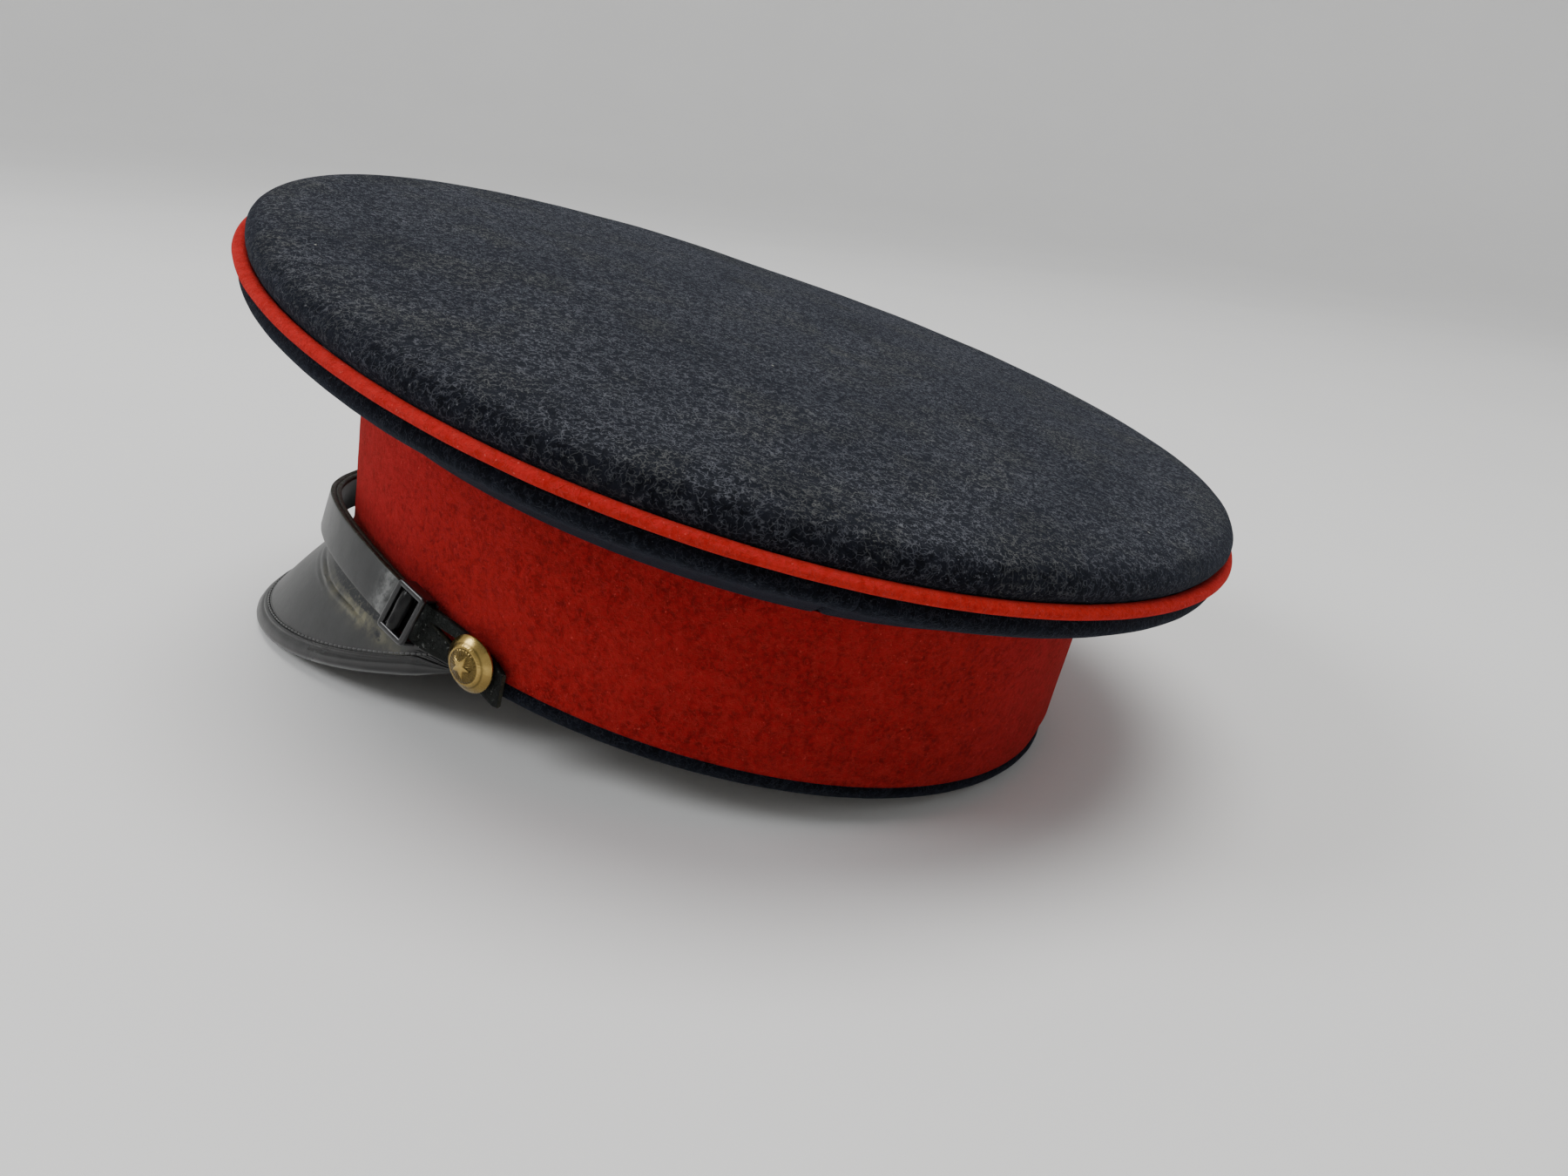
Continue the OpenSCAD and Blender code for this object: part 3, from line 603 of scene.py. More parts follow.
# Dull dark leather: a painted shadow where the strap runs under the slides, and the bare, cracked leather of
# the tabs beyond them.
STRAP_BARE_AND_SHADED = cracked("strap_bare_and_shaded_leather", (0.008, 0.0095, 0.0085), (0.04, 0.043, 0.039), 0.35, 0.12)
STRAP_EDGE = cracked("strap_cut_edge", (0.022, 0.024, 0.016), (0.1, 0.09, 0.055))
STRAP_GLOSS = patent("strap_gloss", (0.002, 0.002, 0.0025), (0.03, 0.03, 0.03), 0.15,
                     rough=(0.12, 0.22), coat=0.12, specular=0.18)
SLIDE = patent("slide_gloss", (0.005, 0.005, 0.006), (0.06, 0.06, 0.06), 0.35, rough=(0.14, 0.32),
               coat=0.5, specular=0.35)
BUTTON = metal("button_brass", (0.46, 0.32, 0.1), (0.2, 0.13, 0.045), (0.18, 0.36),
               marks=(("hollow", (0.035, 0.024, 0.01), 0.9),))
BRASS = metal("dull_brass", (0.55, 0.38, 0.15), (0.25, 0.17, 0.08), (0.35, 0.6))
STEEL = metal("spring_steel", (0.32, 0.32, 0.33), (0.12, 0.11, 0.1), (0.35, 0.6))
BUCKRAM = woven("buckram", (0.48, 0.4, 0.28), (0.22, 0.17, 0.1), 1.1)
LINING = woven("lining_cotton", (0.03, 0.031, 0.036), (0.01, 0.01, 0.012), 0.35, 0.45, 0.3)
SWEATBAND = leather("sweatband_leather", (0.2, 0.095, 0.042), (0.09, 0.04, 0.02))
WADDING = wool("wadding", (0.5, 0.48, 0.44), (0.68, 0.66, 0.61), (0.74, 0.72, 0.68), (0.85, 0.84, 0.8), 0.3)
THREAD = Paint("stitch_thread", Roughness=0.35, Base_Color=(0.055, 0.056, 0.055, 1)).material
SHIELD = Paint("clear_shield", Roughness=0.25, Base_Color=(0.62, 0.56, 0.4, 1),
               Transmission_Weight=0.6).material

# ---- crown ----

ROUND = whole_turn(480)


def make_crown_top():
    flat_h = 9.3
    roll = smooth_line([[-1.4, 0.2], [0.1, 1.3], [1.15, 3.0], [1.35, 4.6], [0.75, 6.3], [-0.9, 7.8],
                        [-3.6, 8.8], [-7.0, flat_h]], 30)
    rows = [crown_at(ROUND, off, h) for off, h in roll]
    rows += [top_at(ROUND, share, 0, flat_h) for share in np.linspace(0.93, 0.02, 34)]
    outer = np.array(rows)
    row = np.arange(len(rows))[:, None]
    outward = np.stack([cosd(ROUND), sind(ROUND), 0 * ROUND], -1)
    pucker = np.exp(-row / 5.0) * np.sin(np.radians(ROUND) * 105 + 2 * sind(ROUND * 9))
    uneven = 0.35 * ripple(outer, 30.0, 3.1) + 0.12 * ripple(outer, 9.0, 8.7)
    wave = 0.13 * pucker + bell(row, 14, 13.0) * uneven
    sink = 0.7 * ripple(outer, 55.0, 1.7) + 0.16 * ripple(outer, 16.0, 5.2)
    outer = outer + outward * wave[..., None] + UP * (sink * step((row - 18) / 16.0))[..., None]
    inner = [outer[k] - UP * 1.6 for k in range(len(rows) - 1, len(roll) - 2, -3)]
    inner += [outer[k] - UP * 0.9 - outward * 1.5 for k in (20, 10)] + [outer[0] - outward * 1.2]
    centre = outer[-1].mean(0)
    top = bowl_piece("crown_top_cloth", outer, np.array(inner), centre, centre - UP * 1.6, NAVY)
    finish_piece(top, "cap", "navy_cloth", "crown_top")


def make_piping():
    """The cord sewn round the crown's seam, pressed a little flat."""
    around = whole_turn(16)
    centre = crown_at(ROUND, 1.45, 0.0)
    out = unit(crown_at(ROUND, 2.5, 0.0) - crown_at(ROUND, 1.5, 0.0))[:, None]
    r = PIPING_D / 2 - 0.04 + 0.1 * ripple(centre, 11.0, 2.2)[:, None]
    flatness = 0.76
    points = (centre[:, None] + out * (r * cosd(around))[..., None]
              + UP * (flatness * r * sind(around))[..., None])
    obj = ring_piece("crown_piping_cord", points, PIPING)
    finish_piece(obj, "cap", "red_piping", "crown_piping")


def make_quarter(name, node, from_a, to_a):
    seam_gap, per_degree = 0.06, 1.6
    a = np.linspace(from_a + seam_gap, to_a - seam_gap, int((to_a - from_a) * per_degree) + 2)
    near = np.minimum(a - a[0], a[-1] - a)
    tuck = 0.9 * bell(near, 0, 0.45)
    roll = smooth_line([[-0.8, -1.2], [0.6, -2.3], [1.4, -3.9], [1.25, -5.4], [0.0, -6.8], [-2.0, -7.9]], 16)
    rows = [crown_at(a, off - tuck, h) for off, h in roll]
    start, foot = rows[-1], band_at(a, BAND_H + 0.25, 0.85)
    for t in np.linspace(0, 1, 16)[1:]:
        rows.append(start * (1 - t) + foot * t + UP * 1.3 * math.sin(math.pi * t) + UP * tuck[:, None] * 0.8)
    face = np.array(rows)
    wave = 0.35 * ripple(face, 26.0, 4.0) + 0.12 * ripple(face, 8.0, 9.0)
    fade = np.sin(np.pi * np.linspace(0.02, 0.98, len(rows)))[:, None]
    face = face - UP * (wave * fade)[..., None]
    inward = -band_out(a, 0.0)
    back = [face[k] + inward * 1.4 + UP * (0.0 if k < 14 else 0.8) for k in range(len(rows) - 1, -1, -1)]
    points = np.concatenate([face, np.array(back)]).transpose(1, 0, 2)
    obj = bar_piece(name, points, NAVY_CLEAN, sharp=60)
    finish_piece(obj, "cap", "navy_cloth", node)


def make_wadding():
    a = whole_turn(180)
    section = smooth_line([[-2.9, 1.3], [-2.6, 3.4], [-4.0, 5.6], [-7.0, 6.6], [-11.0, 6.3], [-13.4, 4.2],
                           [-10.0, 1.6], [-6.0, 1.2]], 20, closed=True)
    points = np.stack([crown_at(a, off, h) for off, h in section], 1)
    middle = points.mean(1, keepdims=True)
    points = middle + (points - middle) * (0.97 - 0.06 * np.abs(ripple(points, 6.0, 7.0)))[..., None]
    obj = ring_piece("crown_wadding", points, WADDING)
    finish_piece(obj, "cap", "wadding", "crown_padding")


# ---- band ----

def band_wave(a, z):
    """Soft unevenness of the band's cloth."""
    points = band_at(a, z, 0.0)
    return 0.28 * ripple(points, 24.0, 6.0) + 0.08 * ripple(points, 7.0, 2.0)


def make_band_cloth():
    z = smooth_line([[z] for z in (WELT_H - 0.1, 6.0, 12.0, 26.0, 40.0, BAND_H + 0.2)], 34)[:, 0]
    grid_a, grid_z = grid(ROUND, z)
    fade = step((grid_z - 8) / 8) * step((BAND_H - grid_z) / 5)
    mm_per_degree = 1.75
    from_seam = np.abs(grid_a - 90) * mm_per_degree
    seam, swell = 0.75 * bell(from_seam, 0, 0.55), 0.35 * bell(from_seam, 2.2, 1.4)
    outer = band_at(grid_a, grid_z, band_wave(grid_a, grid_z) * fade - seam + swell)
    inner = band_at(grid_a, grid_z, -CLOTH_T + 0.02)[:, ::4]
    points = np.concatenate([outer, inner[:, ::-1]], 1)
    obj = ring_piece("band_cloth_red", points, RED)
    finish_piece(obj, "cap", "red_cloth", "band_cloth")


def make_welt():
    section = smooth_line([[-1.0, 0.15], [0.2, -0.1], [0.85, 0.7], [1.05, 1.9], [0.75, 3.0], [0.15, 3.55],
                           [-0.9, 3.5], [-1.05, 1.8]], 20, closed=True)
    off = section[:, 0] + 0.07 * ripple(band_at(ROUND, 0, 0), 5.0, 4.4)[:, None]
    points = band_at(ROUND[:, None], section[:, 1], off)
    obj = ring_piece("band_welt_navy", points, NAVY_CLEAN)
    finish_piece(obj, "cap", "navy_cloth", "band_welt")


def band_lining(name, node, slot, material, low, high, outer, thick, ruffle=0.0):
    """A ring inside the band between two heights. outer is the depth of its outer face."""
    grid_a, grid_z = grid(whole_turn(360), np.linspace(low, high, 16))
    wave = ruffle * ripple(band_at(grid_a, grid_z, 0.0), 16.0, 3.0) * step((high - grid_z) / (high - low))
    points = np.concatenate([band_at(grid_a, grid_z, -outer + wave),
                             band_at(grid_a, grid_z, -outer - thick + wave)[:, ::-1]], 1)
    finish_piece(ring_piece(name, points, material), "cap", slot, node)


def make_sweatband():
    depth = CLOTH_T + STIFFENER_T + PIN_ROOM
    band_lining("sweatband_strip", "sweatband", "sweatband_leather", SWEATBAND, 0.9, SWEATBAND_H,
                depth + 0.05, SWEATBAND_T, 0.25)
    half_a = 0.45
    parts = [capsule(*(band_at(a + turn, SWEATBAND_H - 3.0, -depth - SWEATBAND_T - 0.12)
                       for turn in (-half_a, half_a)), 0.22) for a in whole_turn(180)]
    finish_piece(merge_shapes("sweatband_stitches", parts, THREAD), "cap", "sweatband_leather")


def capsule(p, q, r, sides=6):
    """Points and faces of a small rounded bar from p to q."""
    axis = unit(q - p)
    side = unit(np.cross(axis, UP if abs(axis[2]) < 0.9 else np.array([1.0, 0, 0])))
    other = np.cross(axis, side)
    turn = whole_turn(sides)[:, None]
    circle = (side * cosd(turn) + other * sind(turn)) * r
    end = axis * r * 0.7
    points = np.concatenate([p - end + circle * 0.5, p + circle, q + circle, q + end + circle * 0.5])
    return points, tube_faces(4, sides)


def merge_shapes(name, shapes, material, sharp=60):
    points, faces, first = [], [], 0
    for p, f in shapes:
        points.append(p)
        faces += [[v + first for v in face] for face in f]
        first += len(p)
    return build(name, np.concatenate(points), faces, material, sharp=sharp)


# ---- lining ----

def make_lining():
    a = whole_turn(360)
    foot = CLOTH_T + STIFFENER_T + PIN_ROOM - 0.6
    pleat = 0.35 * sind(a * 36) ** 3
    rows = [band_at(a, SWEATBAND_H + 0.3, -foot), band_at(a, BAND_H + 0.5, -foot)]
    bend, top = rows[1], crown_at(a, LINING_OFF, LINING_H)
    rows += [bend * (1 - t) + top * t + UP * ((pleat + 0.6) * math.sin(math.pi * t))[:, None]
             for t in np.linspace(0.08, 1, 14)]
    inward = -band_out(a, 0.0)
    back = [row + (inward * LINING_T if k < 2 else inward * 0.3 + UP * 0.45) for k, row in enumerate(rows)]
    points = np.array(rows + back[::-1]).transpose(1, 0, 2)
    obj = ring_piece("lining_side_cloth", points, LINING)
    finish_piece(obj, "cap", "lining_cloth", "lining_side")
    tip = lining_disc("lining_tip_cloth", LINING_OFF - 0.1, 0.0, LINING_T, 0.35, LINING)
    finish_piece(tip, "cap", "lining_cloth", "lining_tip")
    shield = lining_disc("sweat_shield_sheet", -72.0, -1.05, 0.35, 0.0, SHIELD)
    finish_piece(shield, "cap", "clear_shield", "sweat_shield")


def lining_disc(name, off, h, t, quilt, material):
    """A disc under the crown's top, off from its outline, t thick, and quilted to a depth."""
    outer = np.array([top_at(whole_turn(360), share, off, h) for share in np.linspace(1, 0.03, 24)])
    outer = outer - UP * np.abs(quilt * ripple(outer, 22.0, 1.0))[..., None]
    centre = outer[-1].mean(0)
    return bowl_piece(name, outer, outer[::-1] - UP * t, centre, centre - UP * t, material)


# ---- peak ----

def peak_reach(psi):
    """The peak's length, from the band to its rim."""
    return PEAK_L * np.power(np.clip(cosd(90 * psi / PEAK_END), 1e-6, 1), 1.08)


def peak_dir(psi):
    """The direction down the peak. It falls more steeply to the sides."""
    n = band_out(psi - 90, 0.0)
    d = n - np.array([0, PEAK_FORWARD, 0])
    d = unit(d * np.array([1, 1, 0]))
    fall = PEAK_SLOPE + PEAK_SLOPE_SIDE * (psi / PEAK_END) ** 2
    return np.stack([d[..., 0] * cosd(fall), d[..., 1] * cosd(fall), -sind(fall)], -1)


def peak_top(psi, share):
    """A point of the peak's plain top face, at a share of the way down it."""
    return band_at(psi - 90, -0.1, 0.2) + peak_dir(psi) * (share * peak_reach(psi))[..., None]


def peak_up(psi):
    along = peak_top(psi + 0.5, 0.6) - peak_top(psi - 0.5, 0.6)
    v = unit(np.cross(along, peak_dir(psi)))
    return np.where(v[..., 2:3] < 0, -v, v)


def peak_angles(count, end=1.2):
    return np.linspace(-1, 1, count) * (PEAK_END - end)


def make_peak():
    """The peak, cambered and creased, with a gouge, marks for the dust by its root, and painted shade where
    the strap's lower edge leaves a gap, which also darkens the gouge's pit.

    fold is the distance down past the main crease, a second one runs beside it, and turn is |psi|.
    """
    grid_psi, share = grid(peak_angles(261), np.linspace(0, 1, 61))
    reach = peak_reach(grid_psi)
    down, turn = share * reach, np.abs(grid_psi)
    flat, up = peak_top(grid_psi, share), peak_up(grid_psi)
    size = step(reach / 16)
    fold = down - np.interp(turn, [12, 29, 37.5, 44.5, 52], [12.5, 9.6, 8.6, 6.8, 6.2])
    along = step((turn - 14) / 10) * step((54 - turn) / 9)
    beside = step((turn - 14) / 8) * step((39 - turn) / 10)
    crease = along * (0.26 * bell(fold, 0.8, 0.55) - 0.42 * bell(fold, 0, 0.4))
    crease += beside * (0.12 * bell(fold, 2.7, 0.5) - 0.22 * bell(fold, 2.0, 0.35))
    gouge = bell(grid_psi - 0.5 * (down - 6.0), 55.0, 0.75) * bell(down, 6.0, 1.1)
    camber = np.sin(np.pi * share) * (0.3 * ripple(flat, 22.0, 4.0) + 1.1)
    rise = (crease - 0.3 * gouge + camber) * size * step((1 - share) * reach / 5)
    top, under = flat + up * rise[..., None], flat - up * PEAK_T
    dust = bell(down, 5.5 - 0.1 * (turn - 47), 3.2) * bell(turn, 47, 9.5)
    dust += 0.35 * bell(fold, 0, 1.6) * step((turn - 22) / 12)
    # Painted shade: dark just below the strap's lower edge, where the gap between strap and peak lies in
    # shadow; the gouge's pit is painted dark as well.
    gap_shade_and_dark_pit = 2.4 * step((np.interp(turn, [26, 35, 45, 53], [6.6, 6.6, 5.2, 3.9]) - down) / 0.5)
    gap_shade_and_dark_pit = np.maximum(gap_shade_and_dark_pit * step((58 - turn) / 4), 2.2 * step((gouge - 0.25) / 0.3))
    marks = {key: np.concatenate([mark * size, 0 * mark], 1)
             for key, mark in (("root_dust", dust), ("gap_shade_and_dark_pit", gap_shade_and_dark_pit))}
    obj = bar_piece("peak_shell", np.concatenate([top, under[:, ::-1]], 1), PEAK, marks=marks)
    finish_piece(obj, "cap", "peak_black", "peak_body")


def make_peak_underside():
    grid_psi, share = grid(peak_angles(121, 5.0), np.linspace(0.05, 0.97, 20))
    up = peak_up(grid_psi)
    face = peak_top(grid_psi, share) - up * (PEAK_T + 0.15)
    back = face - up * LEATHERCLOTH_T
    obj = bar_piece("peak_underside", np.concatenate([face, back[:, ::-1]], 1), UNDERSIDE)
    finish_piece(obj, "cap", "peak_underside", "peak_lining")


def rim_point(psi, out, rise):
    """A place by the peak's rim: out past it, and rise above the peak's top."""
    out, rise = np.asarray(out)[..., None], np.asarray(rise)[..., None]
    return peak_top(psi, 1) + peak_dir(psi) * out + peak_up(psi) * rise


def make_binding():
    psi = peak_angles(261)
    lip = -PEAK_T - LEATHERCLOTH_T - 0.35
    w = BINDING_W
    out_line = smooth_line([[-w - 0.35, 0.04], [-w - 0.2, 0.48], [0.25 - w, 0.62], [0.6 - w, 0.36],
                            [1.1 - w, 0.3], [1.5 - w, 0.78], [2.1 - w, 1.06], [2.7 - w, 0.72], [-2.1, 1.05],
                            [-0.7, 1.0], [0.6, 0.55], [1.3, -0.5], [1.45, 0.5 * lip], [1.05, lip + 0.2],
                            [0.2, lip - 0.2], [-1.0, lip - 0.35], [-3.0, lip - 0.35], [0.9 - w, lip - 0.3],
                            [0.9 - w, lip]], 64)
    in_line = smooth_line([[1.0 - w, lip + 0.02], [-1.0, lip + 0.02], [0.0, lip + 0.2], [0.1, 0.5 * lip],
                           [0.0, 0.0], [-1.0, 0.04], [-w - 0.3, 0.0]], 48)
    section = np.concatenate([out_line, in_line])
    grid_psi = np.repeat(psi[:, None], len(section), 1)
    size = np.minimum(1, peak_reach(grid_psi) / (w + 2))
    out = section[:, 0] * size
    rise = np.where(section[:, 1] > 0, section[:, 1] * size, section[:, 1])
    at_rest = rim_point(grid_psi, out, rise)
    worn = 0.07 * ripple(at_rest, 5.0, 5.0) + 0.1 * ripple(at_rest, 14.0, 9.0)
    points = rim_point(grid_psi, out, rise + worn * (np.arange(len(section)) < len(out_line)))
    wiped = step((np.abs(grid_psi) - 26) / 18) * np.clip(0.75 + 0.6 * ripple(points, 6.0, 2.0), 0, 1)
    obj = bar_piece("peak_binding_roll", points, BINDING, marks={"clean": wiped})
    obj.data.materials.append(BINDING_WIPED)
    wipe_from = 45 + (6 * ripple(points, 6.0, 6.0) + 5 * ripple(points, 2.5, 3.0)).ravel()
    for face in obj.data.polygons:
        corner = face.vertices[0]
        if abs(grid_psi.ravel()[corner]) > wipe_from[corner]:
            face.material_index = 1
    finish_piece(obj, "cap", "binding_black", "peak_binding")
    make_peak_stitches(psi)


def make_peak_stitches(psi):
    """A row of raised stitches along the binding's inner edge."""
    row_out, row_rise, pitch, stitch_l = 0.85 - BINDING_W, 0.62, 2.1, 1.35
    shapes = []
    track = rim_point(psi, row_out, row_rise)
    lengths = np.concatenate([[0], np.cumsum(np.linalg.norm(np.diff(track, axis=0), axis=1))])
    for start in np.arange(6.0, lengths[-1] - 6.0, pitch):
        ends = [np.interp(s, lengths, psi) for s in (start, start + stitch_l)]
        shapes.append(capsule(*(rim_point(x, row_out, row_rise) for x in ends), 0.3))
    finish_piece(merge_shapes("peak_stitches", shapes, THREAD), "cap", "binding_black")


# ---- chin strap ----

def soft_psi(psi):
    return np.hypot(psi, FRONT_BEND) - FRONT_BEND


def strap_z(psi):
    """Height of the strap's middle: low at the front, arched at the sides, falling through the buttons."""
    t = np.minimum(1, soft_psi(psi) / soft_psi(BUTTON_PSI))
    past = np.maximum(0, np.abs(psi) - BUTTON_PSI)
    return STRAP_FRONT_Z + (BUTTON_Z - STRAP_FRONT_Z) * t + STRAP_ARCH * sind(180 * t) - TAB_DROP * past


def released(psi):
    """0 where the strap lies against the band at its buttons, and 1 from the slides forwards."""
    return step((BUTTON_PSI - REST_A - np.abs(psi)) / RELEASE_A)


def strap_gap(psi):
    """How far the strap's inner face stands off the band."""
    return STAND_BUTTON + STAND_SLIDE * released(psi) + STAND_FRONT * cosd(psi) ** 2


def strap_at(psi, v, depth):
    """A point of the strap: v up across it from its middle, depth out from its inner face."""
    psi, v, depth = arrays(psi, v, depth)
    lean = STRAP_LEAN * step(np.abs(psi) / 55) * released(psi)
    n = band_out(psi - 90, 0.0)
    middle = band_at(psi - 90, strap_z(psi), strap_gap(psi))
    across = UP * cosd(lean)[..., None] - n * sind(lean)[..., None]
    out = n * cosd(lean)[..., None] + UP * sind(lean)[..., None]
    return middle + across * v[..., None] + out * depth[..., None]


STRAP_LAST = BUTTON_PSI + TAB_A
LAYER = STRAP_T + 0.1
SLIDE_H = STRAP_W + 2 * SLIDE_SIDE
EDGE_STEPS, FACE_STEPS = 5, 7


def strap_section():
    """Half a turn of rounded edge, the outer face, the other edge and the flat inner face: (v, depth)."""
    half, r = STRAP_W / 2, 0.42
    edge = [[half - r * (1 - cosd(t)), STRAP_T - r + r * sind(t)] for t in np.linspace(90, 0, EDGE_STEPS)]
    across = np.linspace(-0.8, 0.8, FACE_STEPS)
    rows = [[-v, depth] for v, depth in edge[::-1]]
    rows += [[v * half, STRAP_T + 0.04 * (1 - v * v)] for v in across] + edge
    rows += [[half, 0.25], [half - 0.2, 0.0]] + [[v * half, 0.0] for v in across[::-1]]
    return np.array(rows + [[0.2 - half, 0.0], [-half, 0.25]])


def on_cut_edge(k):
    """True for the faces of the strap's two cut edges, where k counts faces round the section."""
    far = EDGE_STEPS + FACE_STEPS + 1
    return k < EDGE_STEPS - 2 or far <= k <= far + EDGE_STEPS or k >= 2 * far


def make_strap(name, node, psi, depth, side):
    """One of the two straps, along the angles psi, with its buttonhole on the given side."""
    section = strap_section()
    past = np.clip((side * psi - BUTTON_PSI - 2) / (TAB_A - 2), 0, 1)
    narrow = 1 - 0.05 * past - 0.12 * step((past - 0.6) / 0.4) ** 2
    v = section[:, 0] * narrow[:, None]
    points = strap_at(psi[:, None], v, depth[:, None] + section[:, 1])
    wave = 0.1 * ripple(points, 13.0, 3.0) + 0.05 * ripple(points, 4.0, 5.0)
    points = points + band_out(psi[:, None] - 90, 0.0) * (wave * (section[:, 1] > 0.3))[..., None]
    rows, cols = points.shape[:2]
    scuff = bell(np.abs(psi), SLIDE_PSI - 5.0, 1.6)
    obj = build(name, points, tube_faces(rows, cols), [STRAP, STRAP_EDGE, STRAP_BARE_AND_SHADED], sharp=40,
                marks={"scuff": np.repeat(scuff[:, None], cols, 1)})
    for k, face in enumerate(obj.data.polygons):
        edge = k >= (rows - 1) * cols or on_cut_edge(k % cols)
        # From the slide's front bar on: a painted shadow on the strap under the slide, then the bare, cracked
        # leather of the tab.
        bare = k < (rows - 1) * cols and abs(psi[k // cols]) > SLIDE_PSI - 2.6
        face.material_index = 2 if bare else int(edge)
    cut_slit(obj, side)
    finish_piece(obj, "chin_strap", "strap_black", node)


def button_frame(side):
    """Place and axes of a button: along the band towards the back, up, and out of the band."""
    out = band_out(np.array(BUTTON_PSI - 90.0), BUTTON_Z) * np.array([side, 1, 1])
    place = band_at(BUTTON_PSI - 90.0, BUTTON_Z, 0.0) * np.array([side, 1, 1])
    along = unit(np.cross(UP, out)) * side
    return place, along, UP, out


def cut_slit(obj, side):
    """Cuts the long buttonhole round the button's shank."""
    place, along, up, out = button_frame(side)
    run = along * cosd(SLIT_SLOPE) - up * sind(SLIT_SLOPE)
    across = along * sind(SLIT_SLOPE) + up * cosd(SLIT_SLOPE)
    half = SLIT_W / 2 - 0.1
    tip = SLIT_L - SLIT_W / 2 - 0.1
    sides = [(3.5, half), (6.5, 0.85 * half), (9.0, 1.05), (11.5, 0.65), (tip - 1.2, 0.22)]
    outline = [place + run * half * cosd(t) + across * half * sind(t) for t in np.linspace(-90, 90, 9)]
    outline += [place - run * far + across * wide for far, wide in sides] + [place - run * tip]
    outline += [place - run * far - across * wide for far, wide in sides[::-1]]
    outline = np.array(outline)
    points = np.concatenate([outline - out * 4, outline + out * 8])
    cutter = build("slit_cutter", points, tube_faces(2, len(outline)), STRAP_EDGE)
    cut = obj.modifiers.new("slit", "BOOLEAN")
    cut.operation, cut.solver, cut.object = "DIFFERENCE", "EXACT", cutter
    apply_modifiers(obj)
    bpy.data.objects.remove(cutter)


def apply_modifiers(obj):
    bpy.context.view_layer.update()
    mesh = bpy.data.meshes.new_from_object(obj.evaluated_get(bpy.context.evaluated_depsgraph_get()))
    obj.modifiers.clear()
    obj.data = mesh


def slide_frame(side):
    """Place and axes of a slide: along the strap towards its end, up across it, and out of it."""
    half_a = 2.6
    flip = np.array([side, 1, 1])
    place = strap_at(SLIDE_PSI, 0, 0)
    x = unit(strap_at(SLIDE_PSI + half_a, 0, 0) - strap_at(SLIDE_PSI - half_a, 0, 0))
    z = unit(np.cross(x, strap_at(SLIDE_PSI, 1, 0) - place))
    y = np.cross(z, x)
    return place * flip, x * flip, y * flip, z * flip


def make_slide(side, name, node):
    place, x, y, z = slide_frame(side)
    passage = 2 * STRAP_T + 0.1 + STACK_ROOM
    half_l, half_h, corner = SLIDE_L / 2, SLIDE_H / 2, 1.3
    path, outs = [], []
    for sx, sy, start in ((-1, -1, 180), (1, -1, 270), (1, 1, 0), (-1, 1, 90)):
        for t in np.linspace(start, start + 90, 7):
            d = x * cosd(t) + y * sind(t)
            path.append(x * sx * (half_l - corner) + y * sy * (half_h - corner) + d * corner)
            outs.append(d)
    path, outs = np.array(path), np.array(outs)
    bar = smooth_line([[0.0, 0.05], [0.0, 0.75], [-0.25, 1.12], [-0.8, 1.2], [-1.35, 1.12], [-1.6, 0.75],
                       [-1.6, 0.05], [-0.8, 0.0]], 24, closed=True)
    ring = place + z * passage + path[:, None] + outs[:, None] * bar[:, :1] + z * bar[:, 1:]
    parts = [ring_piece(name, ring, SLIDE)]
    posts = [place + y * way * (half_h - 0.62) + z * (passage - STACK_ROOM) / 2 for way in (-1, 1)]
    back_bars = [place + x * way * (half_l - 1.1) - z * (STACK_ROOM + 0.38) for way in (-1, 1)]
    post_size, back_size = (SLIDE_L - 1.0, 0.9, passage + 0.3), (2.0, SLIDE_H - 2.2, 0.7)
    for centres, size in ((posts, post_size), (back_bars, back_size)):
        parts += [rounded_box("slide_bar", centre, (x, y, z), size, 0.25, SLIDE) for centre in centres]
    finish_piece(join(name, parts), "chin_strap", "slide_black", node)
    make_strap_roll(name + "_roll", place, x, y, z, passage)


def make_strap_roll(name, place, x, y, z, passage):
    """The strap's turn over the slide's middle bar: a glossy fold nearer the slide's front bar."""
    turns = np.linspace(-8, 188, 26)
    centre = place - x * 1.15 + z * (passage - 0.3)
    rows = []
    for v in np.linspace(-1, 1, 21):
        size = (1 - 0.16 * abs(v) ** 5) * (1 + 0.04 * math.sin(4 * v))
        middle = centre + y * v * (STRAP_W / 2 - 0.25)
        rows.append([middle + (x * cosd(t) * 2.05 + z * sind(t) * 1.85) * size for t in turns]
                    + [middle + x * cosd(t) * 1.1 + z * sind(t) * 0.8 for t in turns[::-1]])
    roll = bar_piece(name, np.array(rows), STRAP_GLOSS)
    finish_piece(roll, "chin_strap", "strap_black")


def rounded_box(name, centre, axes, size, bevel, material):
    x, y, z = axes
    corners = np.array([centre + x * sx * size[0] / 2 + y * sy * size[1] / 2 + z * sz * size[2] / 2
                        for sz in (-1, 1) for sx, sy in ((-1, -1), (1, -1), (1, 1), (-1, 1))])
    faces = [(3, 2, 1, 0), (4, 5, 6, 7), (0, 1, 5, 4), (1, 2, 6, 5), (2, 3, 7, 6), (3, 0, 4, 7)]
    obj = build(name, corners, faces, material)
    rounding = obj.modifiers.new("rounding", "BEVEL")
    rounding.width, rounding.segments = bevel * MM, 3
    apply_modifiers(obj)
    return obj


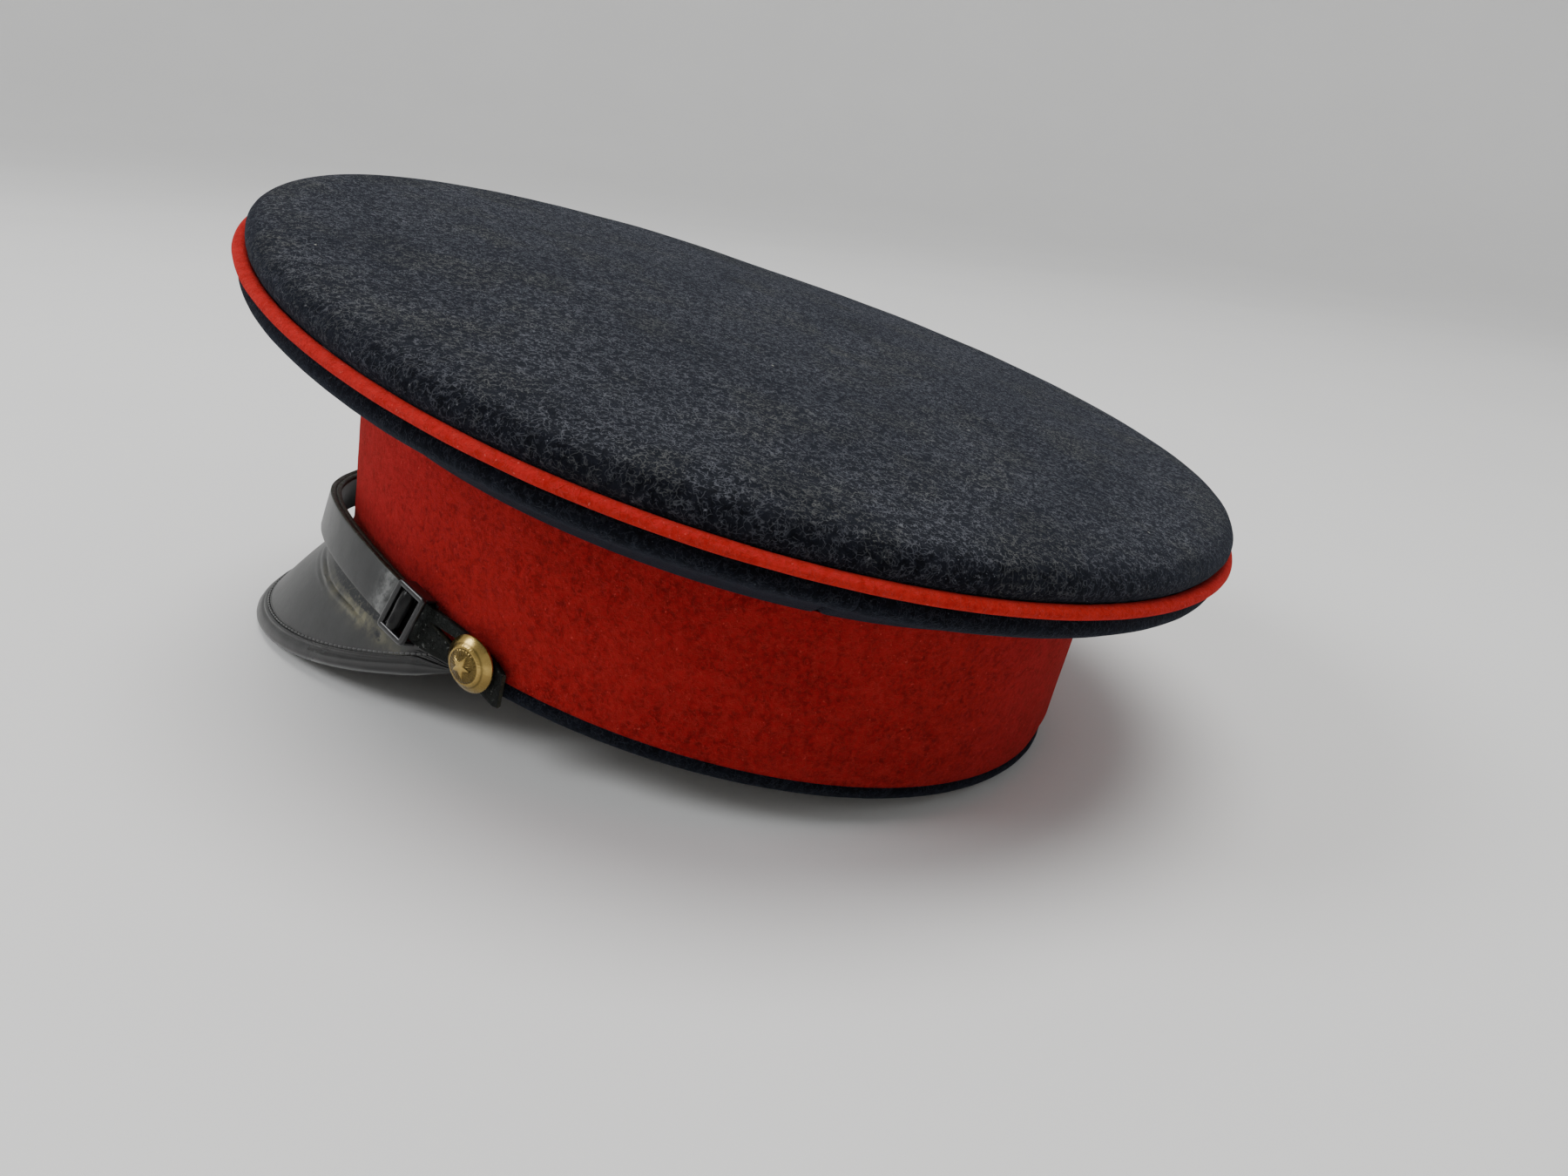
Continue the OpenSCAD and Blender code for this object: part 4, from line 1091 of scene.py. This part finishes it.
def make_chin_strap():
    tab = np.linspace(BUTTON_PSI, STRAP_LAST, 26)[1:]
    run = np.concatenate([np.linspace(2 - SLIDE_PSI, BUTTON_PSI, 170), tab])
    make_strap("strap_inner_leather", "strap_inner", run, 0 * run, 1)
    run = np.concatenate([-tab[::-1], np.linspace(-BUTTON_PSI, SLIDE_PSI - 1, 170)])
    make_strap("strap_outer_leather", "strap_outer", run, LAYER * step((run + BUTTON_PSI - 1) / 8), -1)
    for side, word in ((1, "left"), (-1, "right")):
        make_slide(side, f"slide_{word}_frame", f"slide_{word}")


# ---- buttons ----

def star(r, turn):
    """1 inside a five-pointed star of radius 3, softly edged, and 0 outside."""
    wedge = np.abs((turn + 36) % 72 - 36)
    edge = 3.0 * 0.42 / (0.42 * cosd(wedge) + (1 - 0.42 * cosd(36)) / sind(36) * sind(wedge))
    return step((edge - r) / 0.35 + 0.5), edge


def make_button(side, word):
    place, along, up, out = button_frame(side)
    level = float(strap_gap(np.array(BUTTON_PSI))) + STRAP_T + 0.6
    dome_h, edge_h, rim_r = 3.2, 0.6, BUTTON_D / 2
    dome_r = (rim_r ** 2 + dome_h ** 2) / (2 * dome_h)
    turn = whole_turn(180)
    grid_r, grid_t = grid(np.linspace(rim_r, 0.08, 74), turn)
    inside, edge = star(grid_r, grid_t)
    rope_twist = 0.72 + 0.28 * np.sin(np.radians(grid_t) * 40 + (grid_r - 4.75) * 4)
    field = step((4.5 - grid_r) / 0.3) * (1 - inside)
    relief = 0.3 * inside * (1 - 0.45 * np.clip(grid_r / edge, 0, 1))
    relief += 0.09 * bell(grid_r, 4.75, 0.34) * rope_twist + 0.08 * bell(grid_r, 3.75, 0.16)
    relief -= 0.1 * field * (1 + 0.6 * sind(grid_t * 30) * step(grid_r - 1.0))
    hollow = np.clip(field * 0.8 + 0.64 * bell(grid_r, 5.35, 0.22), 0, 1)

    def dome(r):
        return np.sqrt(dome_r ** 2 - r ** 2) - dome_r + dome_h

    def at(r, t, h):
        r, t, h = arrays(r, t, level + h)
        return place + (along * (r * cosd(t))[..., None] + up * (r * sind(t))[..., None] + out * h[..., None])

    rim = [at(rim_r + past, turn, h) for past, h in ((-0.5, -0.05), (0.0, 0.05), (0.08, 0.45))]
    outer = np.concatenate([rim, at(grid_r, grid_t, dome(grid_r) + edge_h + relief)])
    inner = np.array([at(r, turn, max(0.35, dome(r) + 0.1)) for r in (1.0, 3.0, 5.0, rim_r - 0.8)])
    bare = np.zeros((len(rim), len(turn)))
    marks = np.concatenate([bare, hollow, np.zeros((len(inner), len(turn)))]).ravel()
    obj = bowl_piece(f"button_{word}_dome", outer, inner, place + out * (level + dome_h + edge_h + 0.42),
                     place + out * (level + dome_h), BUTTON, marks={"hollow": np.append(marks, [0, 0])})
    finish_piece(obj, f"{word}_button", "button_brass", f"button_shell_{word}")


# ---- carried-over CAD pieces ----

def paint_node(node, material):
    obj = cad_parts[node]
    obj.data.materials.clear()
    obj.data.materials.append(material)


def paint_carried():
    for node in ("hoop_ferrule", "eyelet_left", "eyelet_right", "button_back_left", "button_back_right",
                 "split_pin_left", "split_pin_right"):
        paint_node(node, BRASS)
    paint_node("crown_hoop", STEEL)
    paint_node("front_stay", BUCKRAM)


make_crown_top()
make_piping()
for name, low, high in (("front_left", -90, SEAM_A), ("rear_left", SEAM_A, 90),
                        ("rear_right", 90, 180 - SEAM_A), ("front_right", 180 - SEAM_A, 270)):
    make_quarter(f"quarter_{name}_cloth", f"quarter_{name}", low, high)
make_wadding()
make_band_cloth()
make_welt()
band_lining("band_stiffener_ring", "band_stiffener", "buckram", BUCKRAM, 1.0, BAND_H - 1, CLOTH_T + 0.05,
            STIFFENER_T - 0.1)
make_sweatband()
make_lining()
make_peak()
make_peak_underside()
make_binding()
make_chin_strap()
for side, word in ((1, "left"), (-1, "right")):
    make_button(side, word)
paint_carried()
